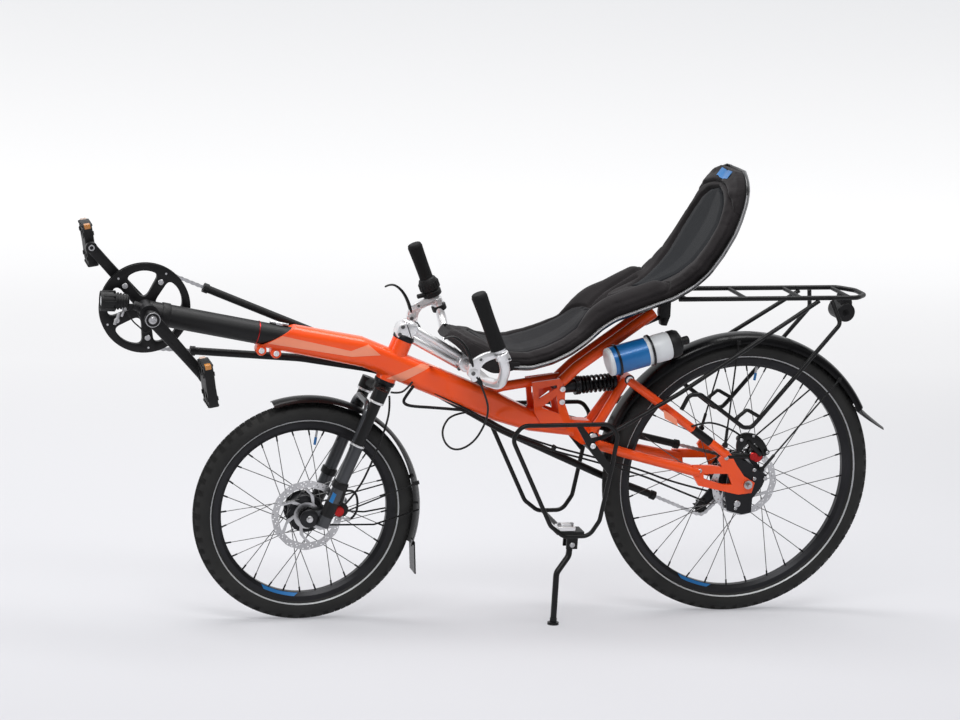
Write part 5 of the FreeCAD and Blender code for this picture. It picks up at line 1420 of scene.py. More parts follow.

# %% [markdown]
# ## Frame details
# The CAD tubes are right as they are. What they lack is what a close look finds: socket-head bolts, the
# clamp lugs under the boom's sleeve, the real spring of the shock, and plain bands of another finish on
# the stays and the main tube. The band on a stay is paler orange accent paint. The main tube's bands are
# partly accent paint and partly a painted highlight where the tube's flank reflects the light. A band is
# a thin skin of its own, laid on a tube by Shrinkwrap and given a wall.

# %% Bolts and bands
def bolt(place, side, radius=6.0, height=4.0):
    """A socket-head bolt whose axis runs across the bicycle."""
    profile = [(0, 0.01), (0, radius), (height - 0.8, radius), (height, radius - 0.8),
               (height, radius * 0.55), (height * 0.4, radius * 0.5), (height * 0.4, 0.01)]
    return lathe(profile, place, RIGHTWARD * side, 24)


def decal(name, corners, y, target, material, body="frame"):
    """A thin four-cornered skin, laid from the left onto the CAD node behind it."""
    a, b, c, d = (np.array(corner, dtype=float) for corner in corners)
    rows = np.linspace(0, 1, 30)[:, None, None]
    columns = np.linspace(0, 1, 18)[None, :, None]
    spread = (a * (1 - rows) + d * rows) * (1 - columns) + (b * (1 - rows) + c * rows) * columns
    points = np.stack((spread[..., 0], np.full(spread.shape[:2], y), spread[..., 1]), axis=-1)
    skin = grid_mesh(name, points)
    laid_on(skin, nodes[target], 0.25, wrap_method="PROJECT", use_project_y=True,
            use_positive_direction=True, use_negative_direction=False)
    return put(name, skin, body, material, 60)


# Paler orange: accent paint on the seatstay; on the main tube partly accent paint and partly a painted
# highlight of its flat flank.
salmon_paint_and_highlight = finish("pale_orange_paint_and_highlight", (0.86, 0.25, 0.13), (0.93, 0.31, 0.18), (0.25, 0.35), coat=0.5,
                grain=(900, 1e-5))
for name, y, target, corners in (
        ("main_tube_band", -80, "main_frame", [(165, 566), (241, 600), (273, 598), (200, 559)]),
        ("front_band", -80, "main_frame", [(-106, 643), (-74, 660), (80, 628), (83, 615)]),
        ("front_band_tip", -80, "main_frame", [(80, 628), (119, 643), (148, 619), (83, 615)]),
        ("seatstay_band", -110, "seatstays", [(788, 512), (793, 492), (826, 474), (821, 494)])):
    decal(name, corners, y, target, salmon_paint_and_highlight)
STAY_TOP_Y, STAY_LOW_Y = 43, 71.5
for side, name in SIDES:
    stay_top, stay_low = Vector((768, side * STAY_TOP_Y, 534)), Vector((966, side * STAY_LOW_Y, 396))
    sleeve_from = stay_top.lerp(stay_low, 0.58)
    sleeve = lathe(tube_profile(0, 52, 10.05, 10.4), sleeve_from,
                   stay_top.lerp(stay_low, 0.82) - sleeve_from, 40)
    put("seatstay_sleeve_" + name, sleeve, "frame", black_coat)

# %% Lugs and bolts under the boom's sleeve
lugs, lug_bolts = [], []
for x, z in ((-117, 619), (-84, 613)):
    lugs.append(bar((x, -15, z), (x, 15, z), 11.5, 1.2, 32))
    lugs.append(plate(rounded([(x - 10, z + 2), (x + 10, z - 2), (x + 11, z + 22), (x - 9, z + 26)], 2),
                      -12, 12, 0.6))
    for side in (-1, 1):
        lug_bolts.append(bolt((x, side * 15, z), side, 6.5, 3.5))
put("boom_clamp_lugs", lugs, "frame", orange)
put("boom_clamp_bolts", lug_bolts, "frame", polished)

# %% Bands and a cable stop on the boom
BOOM_SLOPE = 0.1765


def boom_at(x, out=0.0, degrees=0.0):
    """A point on or round the boom's axis; 0 degrees is up, 90 to the left."""
    turn = math.radians(degrees)
    slope = math.atan(BOOM_SLOPE)
    up_vector = Vector((math.sin(slope), 0, math.cos(slope)))
    centre = Vector((x, 0, CRANK_AXLE.z - BOOM_SLOPE * (x - CRANK_AXLE.x)))
    return centre + up_vector * (out * math.cos(turn)) - RIGHTWARD * (out * math.sin(turn))


boom_along = (boom_at(0) - boom_at(-100)).normalized()
red_ring = lathe(tube_profile(-1, 1, 25.1, 26), boom_at(-126), boom_along, 64)
put("boom_ring", red_ring, "frame", red_anodised)
front_band = lathe(tube_profile(-9, 9, 25.1, 27, 1, 0.6), boom_at(-330), boom_along, 64)
put("boom_front_band", front_band, "frame", moulded)
stop = [bar(boom_at(-104, 28.5), boom_at(-62, 28.5), 3.6, 0.8, 16),
        block(boom_at(-83, 27.5), (16, 12, 6), 1.2, turned_y(math.degrees(math.atan(BOOM_SLOPE))))]
put("boom_cable_stop", stop, "frame", brushed)

# %% Bolts on the plates, pivot and strut
frame_bolts = []
for side in (-1, 1):
    for x, y, z, radius, height in ((572, 31, 540, 6.5, 4), (573, 31, 510, 6.5, 4),
                                    (728, 36, 563, 8.5, 3.5), (652, 34, 428, 10, 3.5),
                                    (629, 107, 427, 6.5, 3.2)):
        frame_bolts.append(bolt((x, side * y, z), side, radius, height))
put("frame_bolts", frame_bolts, "frame", polished)
washers = []
for side in (-1, 1):
    washers += [bar((652, side * 33.6, 428), (652, side * 34.6, 428), 13.5, 0.4, 40),
                bar((728, side * 35.6, 563), (728, side * 36.6, 563), 11.5, 0.4, 40)]
put("frame_washers", washers, "frame", black_anodised)

# %% [markdown]
# The shock is a black damper with a coil spring round it. The coil is one wire swept along a helix whose
# last half turns lie flat against the collars.

# %% Shock
SHOCK_FRONT, SHOCK_REAR = Vector((598.8, 0, 539.8)), Vector((723, 0, 552.4))
shock_along = (SHOCK_REAR - SHOCK_FRONT).normalized()
shock_up = -shock_along.cross(RIGHTWARD).normalized()
COILS, COIL_RADIUS, COIL_FROM, COIL_TO = 8.5, 18.2, 24.0, 101.0
helix = []
for step in range(int(COILS * 12) + 1):
    share = step / (COILS * 12)
    eased_share = share - 0.035 * math.sin(math.tau * share)
    turn = math.tau * COILS * share
    centre = SHOCK_FRONT + shock_along * (COIL_FROM + (COIL_TO - COIL_FROM) * eased_share)
    helix.append(centre + shock_up * (COIL_RADIUS * math.cos(turn))
                 + RIGHTWARD * (COIL_RADIUS * math.sin(turn)))
coil = pipe(helix, 3.4, False, 3, 3, order=4)
put("shock_coil", coil, "frame", gloss, 60, replaces=["shock_spring"])
damper = [lathe([(-27, 0.01), (-27, 13.5), (-25, 15), (16, 15), (17, 21), (22, 21.6), (23.5, 20),
                 (24, 14.8), (44, 14.8), (46, 13), (46, 8), (100, 8), (100.6, 20), (104, 20.6),
                 (108, 19), (109, 8), (112, 7.6), (112, 0.01)], SHOCK_FRONT, shock_along, 48)]
damper.append(bar((571, -24, 537), (571, 24, 537), 10.8, 1, 40))
put("shock_damper", damper, "frame", black_anodised, replaces=["shock_body"])
adjuster = knurled(SHOCK_FRONT, 0, 8, 21.5, 20, 15)
adjuster.data.transform(Matrix.Translation(-SHOCK_FRONT))
adjuster.data.transform(Matrix.Translation(SHOCK_FRONT + shock_along * 10)
                        @ RIGHTWARD.rotation_difference(shock_along).to_matrix().to_4x4())
put("shock_adjuster", adjuster, "frame", black_anodised, 25)

# %% [markdown]
# ## Headset, fork and brakes
# Between the head tube and the steerer clamp sits a black bearing cup; below, a bright race lies on the
# fork's crown. The calipers are black castings with a red adjuster knob.

# %% Headset
LEG_Y, LEG_BACK = 60, -17
cups = [lathe([(48.6, 14.5), (48.6, 23.4), (50, 24.4), (56, 24.4), (60, 22.5), (61, 20), (61, 14.5),
               (48.6, 14.5)], HEAD, STEER_UP, 56),
        lathe([(-48.6, 14.5), (-48.6, 23.4), (-51, 24.2), (-58, 23.2), (-60, 20.6), (-60, 14.5),
               (-48.6, 14.5)], HEAD, STEER_UP, 56)]
put("headset_cups", cups, "steering", black_anodised)
collars = []
for side in (-LEG_Y, LEG_Y):
    foot = steer_point(-96.5, LEG_BACK, side)
    collars.append(lathe([(0, 13.1), (0, 17.3), (3, 17.8), (5, 17.3), (5, 13.1), (0, 13.1)], foot,
                         STEER_UP, 40))
    seal = steer_point(-206.2, LEG_BACK, side)
    collars.append(lathe([(5, 13.2), (5, 16.6), (6.5, 16.9), (9, 16.2), (9, 13.2), (5, 13.2)], seal,
                         STEER_UP, 40))
put("fork_collars", collars, "steering", polished)
patch_corners = [steer_point(u, b) for u, b in ((-310, -30), (-312, -22), (-334, -22), (-332, -30))]
decal("fork_patch", flat(patch_corners), -120, "fork_lowers", sky_blue, "steering")
lower_sleeves = []
for side in (-LEG_Y, LEG_Y):
    lower_sleeves.append(lathe([(-372, 14.4), (-372, 15.2), (-338, 15.2), (-337, 14.4), (-372, 14.4)],
                               steer_point(0, LEG_BACK, side), STEER_UP, 48))
    lower_sleeves.append(lathe(tube_profile(-304, -288, 14.4, 18, 2, 1),
                               steer_point(0, LEG_BACK, side), STEER_UP, 48))
put("fork_leg_bands", lower_sleeves, "steering", black_coat)

# %% Calipers
for name, axle, y, body, turn in (("front", FRONT_AXLE, FRONT_DISC_Y, "steering", 14),
                                  ("rear", REAR_AXLE, REAR_DISC_Y, "frame", 76)):
    centre = around(axle, 68, turn)
    shell_line = [around(centre, reach, turn + degrees) for degrees, reach in (
        (-64, 21), (-20, 24), (20, 24), (64, 21), (100, 17), (140, 13), (180, 12), (220, 13), (260, 17))]
    outer_half = plate(rounded(flat(shell_line), 2), y - 23, y - 4.2, 2.5)
    inner_half = plate(rounded(flat(shell_line[1:-1]), 2), y + 4.2, y + 7.5, 1.2)
    bridge = plate(rounded(flat([around(centre, 15, turn - 60), around(centre, 24, turn - 30),
                                 around(centre, 24, turn + 30), around(centre, 15, turn + 60)]), 2),
                   y - 20, y + 7, 1.0)
    disc_room = [(y - 4, 0.01), (y - 4, DISC_RADIUS + 3), (y + 4, DISC_RADIUS + 3), (y + 4, 0.01)]
    cut_out(bridge, [lathe(disc_room, axle, RIGHTWARD, 90)])
    if name == "front":
        arm = bar((centre.x, y - 15, centre.z), steer_point(-300, -7, -66), 6.5, 0.8)
    else:
        arm = bar((centre.x, y - 18, centre.z), (968, y - 18, 392), 6.5, 0.8)
    put(name + "_caliper_body", [outer_half, inner_half, bridge, arm], body, black_coat,
        replaces=[name + "_brake_caliper"])
    knob = lathe([(0, 0.01), (0, 11.5), (1.5, 12), (5, 12), (6.5, 11), (7.4, 8), (7.4, 0.01)],
                 (centre.x, y - 22.0, centre.z), -RIGHTWARD, 36)
    put(name + "_caliper_knob", knob, body, red_anodised)
    heads = [bolt(around(centre, 17, turn + a, y - 23), -1, 3.6, 2.6) for a in (-75, 75)]
    put(name + "_caliper_bolts", heads, body, brushed)

# %% Front brake bracket
bracket = [plate(rounded([(62, 320), (68, 331), (84, 329), (85, 318), (74, 302), (86, 292), (80, 283),
                          (64, 288), (60, 304)], 2), -58, -54, 1),
           bar((94, -57, 246), (78, -55, 251), 4.5, 0.8, 16),
           bar((80, -60, 322), (80, -52, 322), 5, 0.8, 20)]
put("front_brake_bracket", bracket, "steering", brushed)
loop_line = [(74, -60, 312), (88, -62, 316), (103, -62, 308), (108, -62, 281), (104, -60, 256),
             (92, -57, 246)]
put("front_brake_loop", pipe(loop_line, 2.6, False, 8, 5), "steering", moulded)

# %% Rear brake mount
mount = plate(rounded([(984, 428), (990, 446), (1006, 452), (1034, 446), (1056, 424), (1064, 402),
                       (1052, 392), (1044, 412), (1026, 428), (1004, 426), (1000, 408), (986, 404)], 2),
              -84, -74, 2)
mount_bar = [bar((1010, -82, 432), (1046, -82, 398), 5.5, 1, 20),
             bar((992, -88, 436), (992, -72, 436), 8, 1, 24),
             bar((1058, -88, 406), (1058, -72, 406), 6.5, 1, 24)]
put("rear_brake_mount", [mount] + mount_bar, "frame", black_coat)
mount_bolts = [bolt((992, -88, 436), -1, 4, 2.5), bolt((1058, -88, 406), -1, 3.6, 2.5),
               bolt((1022, -84, 444), -1, 3.2, 2.2)]
put("rear_mount_bolts", mount_bolts, "frame", brushed)

# %% Torque plate, axle ends and dropout bolts
plate_bolts = [bolt((x, -67, z), -1, r, 3.2) for x, z, r in
               ((1004, 278, 8), (1001, 267, 4), (1068, 338, 5), (1039, 359, 4.5), (1041, 338, 4.5))]
plate_bolts += [bolt((x, side * 75.5, z), side, 5.2, 3) for side in (-1, 1)
                for x, z in ((902, 360), (964, 390))]
plate_bolts += [bolt(REAR_AXLE + RIGHTWARD * (side * 76), side, 9, 5) for side in (-1, 1)]
put("rear_end_bolts", plate_bolts, "frame", brushed)
small_knob = lathe([(0, 0.01), (0, 9), (1.5, 10), (5, 10), (6.4, 8.6), (6.4, 0.01)], (1029, -77, 395),
                   -RIGHTWARD, 32)
put("rear_adjuster", small_knob, "frame", red_anodised)

# %% Front hub cover and axle ends
covers = [lathe([(0, 5.2), (0, 20), (1.5, 21), (4, 21), (5.5, 19), (7, 12), (7, 5.2), (0, 5.2)],
                FRONT_AXLE + RIGHTWARD * (side * 58.2), RIGHTWARD * side, 44) for side in (-1, 1)]
put("front_axle_covers", covers, "steering", black_anodised)
put("front_axle_bolts", [bolt(FRONT_AXLE + RIGHTWARD * (side * 64), side, 7.5, 5) for side in (-1, 1)],
    "steering", brushed)

# %% [markdown]
# ## Cockpit
# The handlebar bends up beside the rider's hips. Each end has a tapered rubber grip, a bright lever perch
# and a hooked black brake lever; the right one also carries the twist shifter. The perch is one cast arm,
# so its outline is cut from sheet, rounded, and hollowed where the real casting is.

# %% Grips
GRIP_Y, LEVER_Y = 286, 277.0


def grip_low(side):
    return Vector((339.5, side * GRIP_Y, 688))


GRIP_ALONG = Vector((-0.402, 0, 0.916)).normalized()
GRIP_LENGTH = 131.0
for side, name in SIDES:
    profile = [(0.5, 0.01), (0.5, 17.2)]
    ribs = 44
    for rib in range(ribs):
        at_mm = 2.0 + (GRIP_LENGTH - 8) * rib / ribs
        radius = 17.0 - 1.3 * math.sin(math.pi * rib / ribs) + 0.6 * (rib / ribs)
        profile += [(at_mm, radius - 0.5), (at_mm + 0.6, radius), (at_mm + 1.6, radius)]
    profile += [(GRIP_LENGTH - 5, 16.4), (GRIP_LENGTH - 1.5, 15.6), (GRIP_LENGTH, 13.6),
                (GRIP_LENGTH, 0.01)]
    grip = lathe(profile, grip_low(side), GRIP_ALONG, 48)
    put(name + "_grip", grip, "steering", rubber, 50, ["grips"] if side < 0 else ())

# %% Twist shifter on the right grip, with its cable stop
shifter = lathe([(4, 16), (4, 20), (6, 22.5), (16, 23), (18, 20.5), (20, 20.5), (22, 24), (40, 23),
                 (48, 19.5), (50, 16), (4, 16)], grip_low(1) - GRIP_ALONG * 6, GRIP_ALONG, 56)
ribs = []
for rib in range(18):
    fin = block((23.4, 0, 31), (2.6, 3, 17), 0.8)
    fin.data.transform(Matrix.Rotation(math.tau * rib / 18, 4, "Z"))
    ribs.append(fin)
rib_set = join("ribs", ribs)
rib_turn = GRIP_ALONG.to_track_quat("Z", "Y").to_matrix().to_4x4()
rib_set.data.transform(Matrix.Translation(grip_low(1) - GRIP_ALONG * 6) @ rib_turn)
outlet_at = grip_low(1) + GRIP_ALONG * 4
outlet = bar(outlet_at + Vector((-10, -8, 0)), outlet_at + Vector((-38, -14, -6)), 5.5, 1, 20)
put("twist_shifter", [shifter, rib_set, outlet], "steering", moulded)
collar = lathe([(-8, 11.3), (-8, 16.4), (-6.6, 17.4), (5, 17.4), (6, 16.4), (6, 11.3), (-8, 11.3)],
               (356.5, GRIP_Y, 659.5), GRIP_ALONG, 40)
put("shifter_collar", collar, "steering", moulded)

# %% Perches and levers
PERCH = [(355, 686), (360, 672), (340, 668), (318, 660), (307, 650), (304, 636), (303, 620),
         (290, 612), (283, 628), (277, 645), (286, 662), (300, 672), (316, 679), (340, 684)]
for side, name in SIDES:
    y = side * LEVER_Y
    perch = plate(rounded(PERCH, 2), y - 5, y + 5, 1.8)
    slots = [plate(rounded([(298, 662), (308, 668), (312, 662), (302, 654)], 2), y - 9, y - 3.4, 0)]
    slots.append(plate(rounded([(287, 640), (292, 650), (298, 644), (294, 630), (288, 628)], 2),
                       y - 9, y - 3.4, 0))
    if side > 0:
        for slot_piece in slots:
            slot_piece.data.transform(Matrix.Translation((0, 12.4, 0)))
    cut_out(perch, slots)
    clamp_ring = lathe(tube_profile(-6, 8, 11.2, 15.4, 1, 0.8), (349.5, side * GRIP_Y, 672.5),
                       GRIP_ALONG, 48)
    ear = block((362, side * GRIP_Y, 668), (12, 9, 12), 1.5, turned_y(-20))
    drum = bar((289, y - side * 6, 634), (289, y + side * 6, 634), 11.5, 1.5, 32)
    put(name + "_perch", [perch, clamp_ring, ear, drum], "steering", polished,
        replaces=["brake_levers"] if side < 0 else ())
    heads = [bolt((289, y - 6, 634), -1, 4.6, 2), bolt((289, y + 6, 634), 1, 4.6, 2),
             bolt((304, y - 5, 664), -1, 3.2, 1.6), bolt((364, side * GRIP_Y - 5, 668), -1, 3, 2)]
    put(name + "_perch_bolts", heads, "steering", dark_steel)
    hose_nut = bar((289, y, 636), (309, y, 611), 5.4, 1, 16)
    boot = bar((306, y, 615), (310.5, y, 608), 4.2, 1, 16)
    put(name + "_hose_outlet", [hose_nut, boot], "steering", moulded)
    path = [(289, 644), (284, 662), (274, 684), (262, 700), (249, 710), (238, 713), (227, 710),
            (221, 706)]
    widths = [7.5, 7.0, 6.4, 5.6, 4.8, 4.2, 3.8, 3.6]
    sections = []
    for index, ((x, z), wide) in enumerate(zip(path, widths)):
        before = Vector((*path[max(0, index - 1)], 0))
        after = Vector((*path[min(len(path) - 1, index + 1)], 0))
        along = (after - before).normalized()
        across = Vector((-along.y, along.x, 0))
        row = []
        for degrees in range(0, 360, 30):
            turn = math.radians(degrees)
            out = across * (wide * 0.62 * math.cos(turn))
            row.append((x + out.x, y + wide * math.sin(turn), z + out.y))
        sections.append(row)
    lever = grid_mesh("lever", np.array(sections), closed=True)
    outward(lever)
    with_modifier(lever, "SUBSURF", levels=2, render_levels=2)
    put(name + "_brake_lever", lever, "steering", black_coat, 60)

# %% [markdown]
# The stem is a forged clamp on the steerer, a twin arm back over the main tube, and a split clamp round
# the handlebar. It replaces the plain CAD stem.

# %% Stem
BAR_AT = Vector((347.2, 0, 594))
clamp_outline = [(192, 686), (229, 682), (233, 668), (215, 641), (184, 650), (182, 664)]
steerer_clamp = plate(rounded(clamp_outline, 2), -19, 19, 4)
split_gap = block((212, -14, 664), (44, 13, 2.4), 0, turned_y(69))
cut_out(steerer_clamp, [split_gap])
top_cap = lathe([(84, 0.01), (84, 18.5), (86, 19), (91, 19), (93, 17), (93, 8), (91, 7), (91, 0.01)],
                HEAD, STEER_UP, 48)
top_arm = bar((221, 0, 672), (347, 0, 601), 8.6, 1, 40)
low_arm = bar((216, 0, 650), (338, 0, 586), 10.5, 1, 40)
web = plate([(222, 670), (340, 603), (334, 588), (217, 652)], -4.5, 4.5, 1)
bar_clamp = lathe(tube_profile(-23, 23, 11.2, 19, 1.5, 1.4), BAR_AT, RIGHTWARD, 56)
put("stem_arm", [steerer_clamp, top_cap, top_arm, low_arm, web, bar_clamp], "steering", polished,
    replaces=["stem"])
stem_bolts = [bolt((x, -19, z), -1, 4.4, 2.4) for x, z in ((196, 676), (190, 659))]
stem_bolts += [bolt((x, side * 12, z), side, 4.0, 9)
               for side in (-1, 1) for x, z in ((363, 606), (331, 582))]
put("stem_bolts", stem_bolts, "steering", dark_steel)

# %% [markdown]
# ## Lamps, bottle and luggage parts
# The headlight is a ribbed black housing with a clear lens, the tail light a red lens in a black cup.
# The bottle is pale translucent plastic with a plain blue band and a black cap, held by two hoops.

# %% Headlight
lamp_at = Vector((-438, 0, 722))
FORWARD = Vector((-1, 0, 0))
profile = [(-30, 0.01), (-30, 11), (-28, 14)]
for rib in range(5):
    profile += [(-26 + rib * 6, 15.5 + rib * 1.1), (-23.4 + rib * 6, 15.5 + rib * 1.1),
                (-23.0 + rib * 6, 13.4 + rib * 1.1), (-20.4 + rib * 6, 13.4 + rib * 1.1)]
profile += [(4, 21), (26, 21.8), (31, 21.8), (31.5, 20.8), (31.5, 19.2), (27, 18.4), (27, 0.01)]
housing = lathe(profile, lamp_at, FORWARD, 40)
lens = lathe([(27.1, 0.01), (29.5, 10), (28.6, 17.8), (27.1, 18.2), (27.1, 0.01)], lamp_at, FORWARD, 40)
fins = []
for turn in range(0, 360, 45):
    fin = block((0, 0, 21.4), (26, 7, 2.4), 0.7)
    fin.data.transform(Matrix.Translation(lamp_at + FORWARD * 12)
                       @ Matrix.Rotation(math.radians(turn), 4, "X"))
    fins.append(fin)
foot = plate(rounded([(-426, 716), (-414, 716), (-392, 716), (-388, 706), (-396, 702), (-424, 704)], 2),
             -4, 4, 1.2)
put("headlight_housing", [housing, foot] + fins, "frame", moulded,
    replaces=["headlight"])
put("headlight_lens", lens, "frame", clear_lens)
clip = [bar((-418, -8, 706), (-418, 8, 706), 5.5, 0.8, 24),
        pipe([(-430, -9, 697), (-431, -9, 688), (-436, -9, 680), (-438, -9, 672)], 3.4, False, 6, 5),
        bar((-418, -9, 706), (-424, -9, 690), 3.0, 0.6, 16)]
put("headlight_clip", clip, "frame", brushed)
lamp_wire = pipe([(-412, -10, 700), (-402, -14, 682), (-384, -16, 668), (-372, -18, 656),
                  (-362, -20, 662), (-358, -22, 676)], 1.6, False, 8, 4)
put("headlight_wire", lamp_wire, "frame", moulded)

# %% Tail light
tail_at = Vector((1246, 0, 724))
cup = lathe([(-30, 0.01), (-30, 20), (-28, 22), (27, 22), (30, 20), (30, 0.01)], tail_at, RIGHTWARD, 48)
cut_out(cup, [bar((1258, 0, 724), (1290, 0, 724), 17, 0, 40)])
stalk = plate(rounded([(1236, 738), (1250, 740), (1247, 766), (1233, 766)], 1), -9, 9, 1.5)
put("tail_light_cup", [cup, stalk], "frame", moulded, replaces=["tail_light"])
glass_ring = lathe([(8, 20.5), (8, 23.5), (14, 24.5), (20, 22), (21, 19), (17, 19), (12, 20.5),
                    (8, 20.5)], tail_at, -FORWARD, 48)
put("tail_light_ring", glass_ring, "frame", clear_lens)
hook = [plate(rounded([(1226, 758), (1256, 760), (1262, 742), (1252, 716), (1240, 700), (1228, 706),
                       (1236, 730)], 2), -26, -23, 0.8),
        bar((1244, -30, 724), (1244, -23, 724), 9, 1.2, 30)]
put("tail_light_hook", hook, "frame", moulded)
tail_lens = lathe([(12, 0.01), (12, 16.4), (17, 16.2), (20.4, 12), (21.4, 0.01)], tail_at, -FORWARD, 40)
put("tail_light_lens", tail_lens, "frame", red_lens)

# %% Bottle and cage
bottle_low, bottle_high = Vector((658, -76, 612)), Vector((815, -76, 658))
bottle_along = (bottle_high - bottle_low).normalized()
pale_plastic = finish("bottle_plastic_pale", (0.62, 0.64, 0.66), (0.74, 0.76, 0.78), (0.3, 0.4),
                      grain=(400, 3e-5))
body_line = [(0, 0.01), (0, 28), (3, 32), (96, 32.4), (104, 31), (110, 31), (116, 32.4), (142, 32.4),
             (149, 30), (149, 0.01)]
put("bottle_body", lathe(body_line, bottle_low, bottle_along, 64), "frame", pale_plastic,
    replaces=["bottle"])
band = lathe(tube_profile(10, 92, 32.3, 32.8), bottle_low, bottle_along, 64)
put("bottle_band", band, "frame", sky_blue)
cap_line = [(148, 0.01), (148, 31), (150, 32), (164, 31.6), (172, 28), (177, 18), (177, 0.01)]
cap = lathe(cap_line, bottle_low, bottle_along, 64)
nozzle = lathe([(176, 0.01), (176, 10), (186, 9.4), (187, 10), (194, 9.6), (196, 8), (196, 0.01)],
               bottle_low, bottle_along, 32)
put("bottle_cap", [cap, nozzle], "frame", moulded)
bolt_heads = [bolt(bottle_low + bottle_along * reach + Vector((0, 36, 4)), -1, 3.6, 2)
              for reach in (25, 105)]
put("bottle_cage_bolts", bolt_heads, "frame", brushed)

# %% [markdown]
# The rack is bent steel tube. Small tabs, bolts and clips hold it to the frame, and thin wire stays brace
# the mudguards.

# %% Pannier loop diamonds, stand plate and clips
diamonds = [pipe([(969, y, 484), (972, y, 489), (996, y, 509), (1030, y, 491)], 4.4, False, 6, 5,
                 order=2) for y in (-95, 95)]
put("pannier_hooks", diamonds, "frame", black_coat)
stand_parts = [block((585, -88, 231.5), (42, 30, 10), 1.6), block((585, -88, 239), (24, 14, 6), 1.4)]
put("stand_clamp", stand_parts, "frame", polished)
stand_bolts = [bar((x, -88, 236), (x, -88, 243), 4.6, 0.8, 6) for x in (570, 600)]
stand_bolts += [bolt((601, -100.5, 194), -1, 6, 2.6), bolt((601, -69.5, 194), 1, 6, 2.6)]
put("stand_bolts", stand_bolts, "frame", brushed)
clips = [block(place, (7, 15, 14), 1.5, turned_y(22)) for place in ((560, -38, 404), (700, -52, 374))]
put("cable_clips", clips, "frame", moulded)

# %% Mudguard stays
stay_ends, front_stays = [], []
for side in (-1, 1):
    foot = steer_point(-372, -8, side * 62)
    tip = around(FRONT_AXLE, 257, 16, side * 27.5)
    front_stays.append(bar(foot, tip, 1.7, 0, 12))
    stay_ends.append(block(tip, (14, 4, 9), 1.2, turned_y(-16)))
put("front_fender_stays", front_stays + stay_ends, "steering", moulded)
rear_stays = []
for side in (-1, 1):
    for foot, degrees in (((957, 421), 96.3), ((1052, 363), 47)):
        low = Vector((foot[0], side * 79, foot[1]))
        tip = around(REAR_AXLE, 326, degrees, side * 31.5)
        rear_stays += [bar(low, tip, 2.0, 0, 12), bar(low, low.lerp(tip, 0.16), 3.6, 0.6, 16),
                       bar(low - RIGHTWARD * (side * 5), low + RIGHTWARD * (side * 4), 6, 0.8, 20),
                       block(tip, (10, 5, 10), 1.2)]
put("rear_mudguard_stays", rear_stays, "frame", moulded)

# %% [markdown]
# The rear mudguard is a long channel with deep sides. One cross-section, a superellipse, is carried
# round the wheel, and Solidify gives the sheet its wall. The flap is the same idea laid flat: a leaf
# that narrows to its tip, bent down at both edges.

# %% Rear mudguard
GUARD_CROWN, GUARD_HALF = 342.5, 30.0
guard_turn = np.radians(np.linspace(30, 172, 96))[:, None]
bend = np.radians(np.linspace(-90, 90, 21))[None, :]
guard_drop = 9 + 12 * (1 - rise(np.degrees(guard_turn), 125, 150))
reach = GUARD_CROWN - guard_drop * (1 - np.abs(np.cos(bend)) ** 0.8)
sideways = GUARD_HALF * np.sign(np.sin(bend)) * np.abs(np.sin(bend)) ** 0.75 + 0 * guard_turn
guard = grid_mesh("guard", np.stack((REAR_AXLE.x + reach * np.cos(guard_turn), sideways,
                                     REAR_AXLE.z + reach * np.sin(guard_turn)), axis=-1))
length_share = np.linspace(0, 1, 30)[:, None]
leaf_half = 26 * (1 - length_share ** 3 * 0.8)
leaf_side = np.linspace(-1, 1, 17)[None, :]
leaf_x = 1314 + 68 * length_share + 0 * leaf_side
leaf_z = 495 - 52 * length_share ** 0.9 - 12 * leaf_side ** 2 * (1 - 0.6 * length_share)
leaf = grid_mesh("leaf", np.stack((leaf_x, leaf_half * leaf_side, leaf_z), axis=-1))
for sheet in (guard, leaf):
    with_modifier(sheet, "SOLIDIFY", thickness=1.8, offset=0)
    outward(sheet)
put("rear_mudguard", [guard, leaf], "frame", gloss, 50, replaces=["rear_fender"])

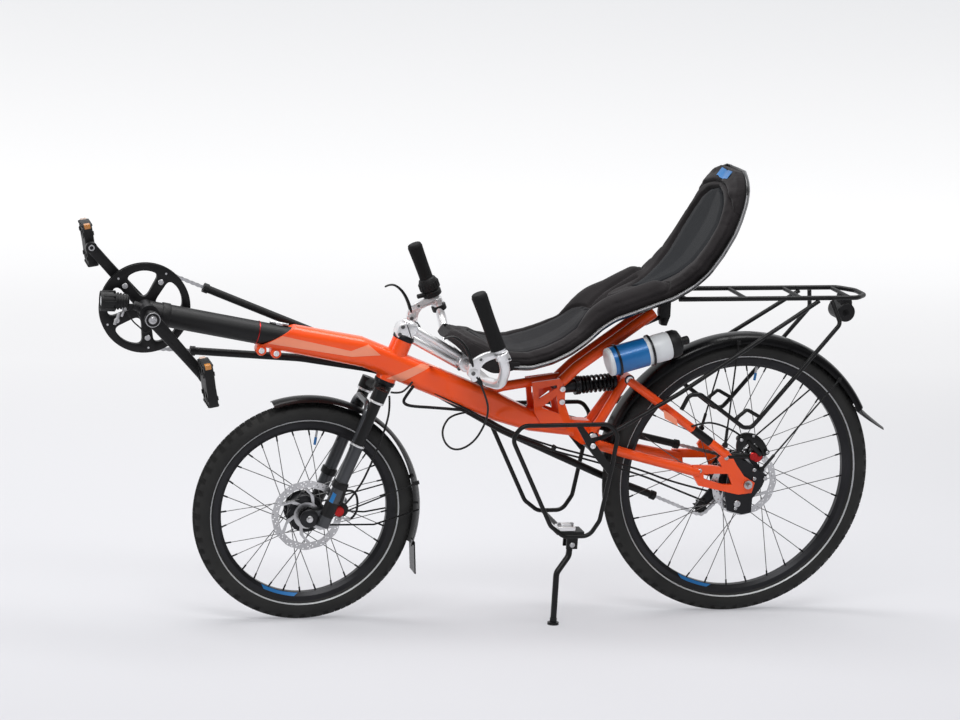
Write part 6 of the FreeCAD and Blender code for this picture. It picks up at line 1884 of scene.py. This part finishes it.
# %% [markdown]
# ## Cables
# Brake hoses and shift cables leave the levers, run down the main tube in clips, and curve into the
# brakes. Each is a NURBS line through the bicycle with a round section. Two of them cross from the
# steering to the frame; they are left as fixed meshes that no body carries.

# %% Cables on the frame and across the steering
CABLE = 2.3
FRAME_RUNS = [
    (CABLE * 1.5, [(226, -31, 546), (210, -31, 523), (203, -31, 508), (218, -31, 499), (276, -31, 496),
                   (345, -30, 490)]),
    (CABLE, [(277, -22, 527), (323, -22, 505), (370, -22, 483), (425, -22, 452), (470, -24, 434),
             (560, -34, 406), (640, -44, 388), (764, -60, 359), (836, -62, 331), (930, -62, 308)]),
    (CABLE, [(352, -30, 483), (372, -30, 474), (425, -30, 444), (470, -32, 426), (560, -42, 398),
             (640, -52, 380), (765, -66, 348), (838, -68, 318), (925, -66, 284)]),
    (CABLE, [(874, -70, 463), (905, -76, 475), (935, -78, 471), (966, -78, 459), (990, -77, 446),
             (1004, -77, 434)])]
runs = [pipe(points, radius, False, 8, 4) for radius, points in FRAME_RUNS]
put("frame_cable_runs", runs, "frame", moulded, replaces=["frame_cables"])
LOOP = [(309, -271, 610), (337, -238, 566), (350, -210, 528), (350, -180, 490), (342, -150, 452),
        (325, -125, 427), (307, -105, 418), (292, -90, 427), (286, -75, 446), (293, -60, 464),
        (313, -45, 483), (346, -36, 486)]
BEND = [(171, -45, 534), (193, -45, 531), (211, -40, 544), (221, -36, 556)]
for name, points, replaced in (("brake_loop_cable", LOOP, ["bar_cables"]), ("crown_cable", BEND, [])):
    cable = put(name, pipe(points, CABLE, False, 10, 5), "frame", moulded,
                replaces=replaced)
    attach(cable, "frame")
    alone(cable)
    bpy.ops.object.parent_clear(type="CLEAR_KEEP_TRANSFORM")
    MILLIMETRES @ Vector(points[-1])
    MILLIMETRES @ Vector(points[0])
    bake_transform(cable)
HOSE = [(163, -66, 531), (166, -68, 504), (158, -72, 462), (142, -74, 415), (127, -74, 372),
        (106, -70, 320), (80, -62, 284)]
put("front_hose", pipe(HOSE, CABLE, False, 8, 5), "steering", moulded,
    replaces=["front_brake_hose"])
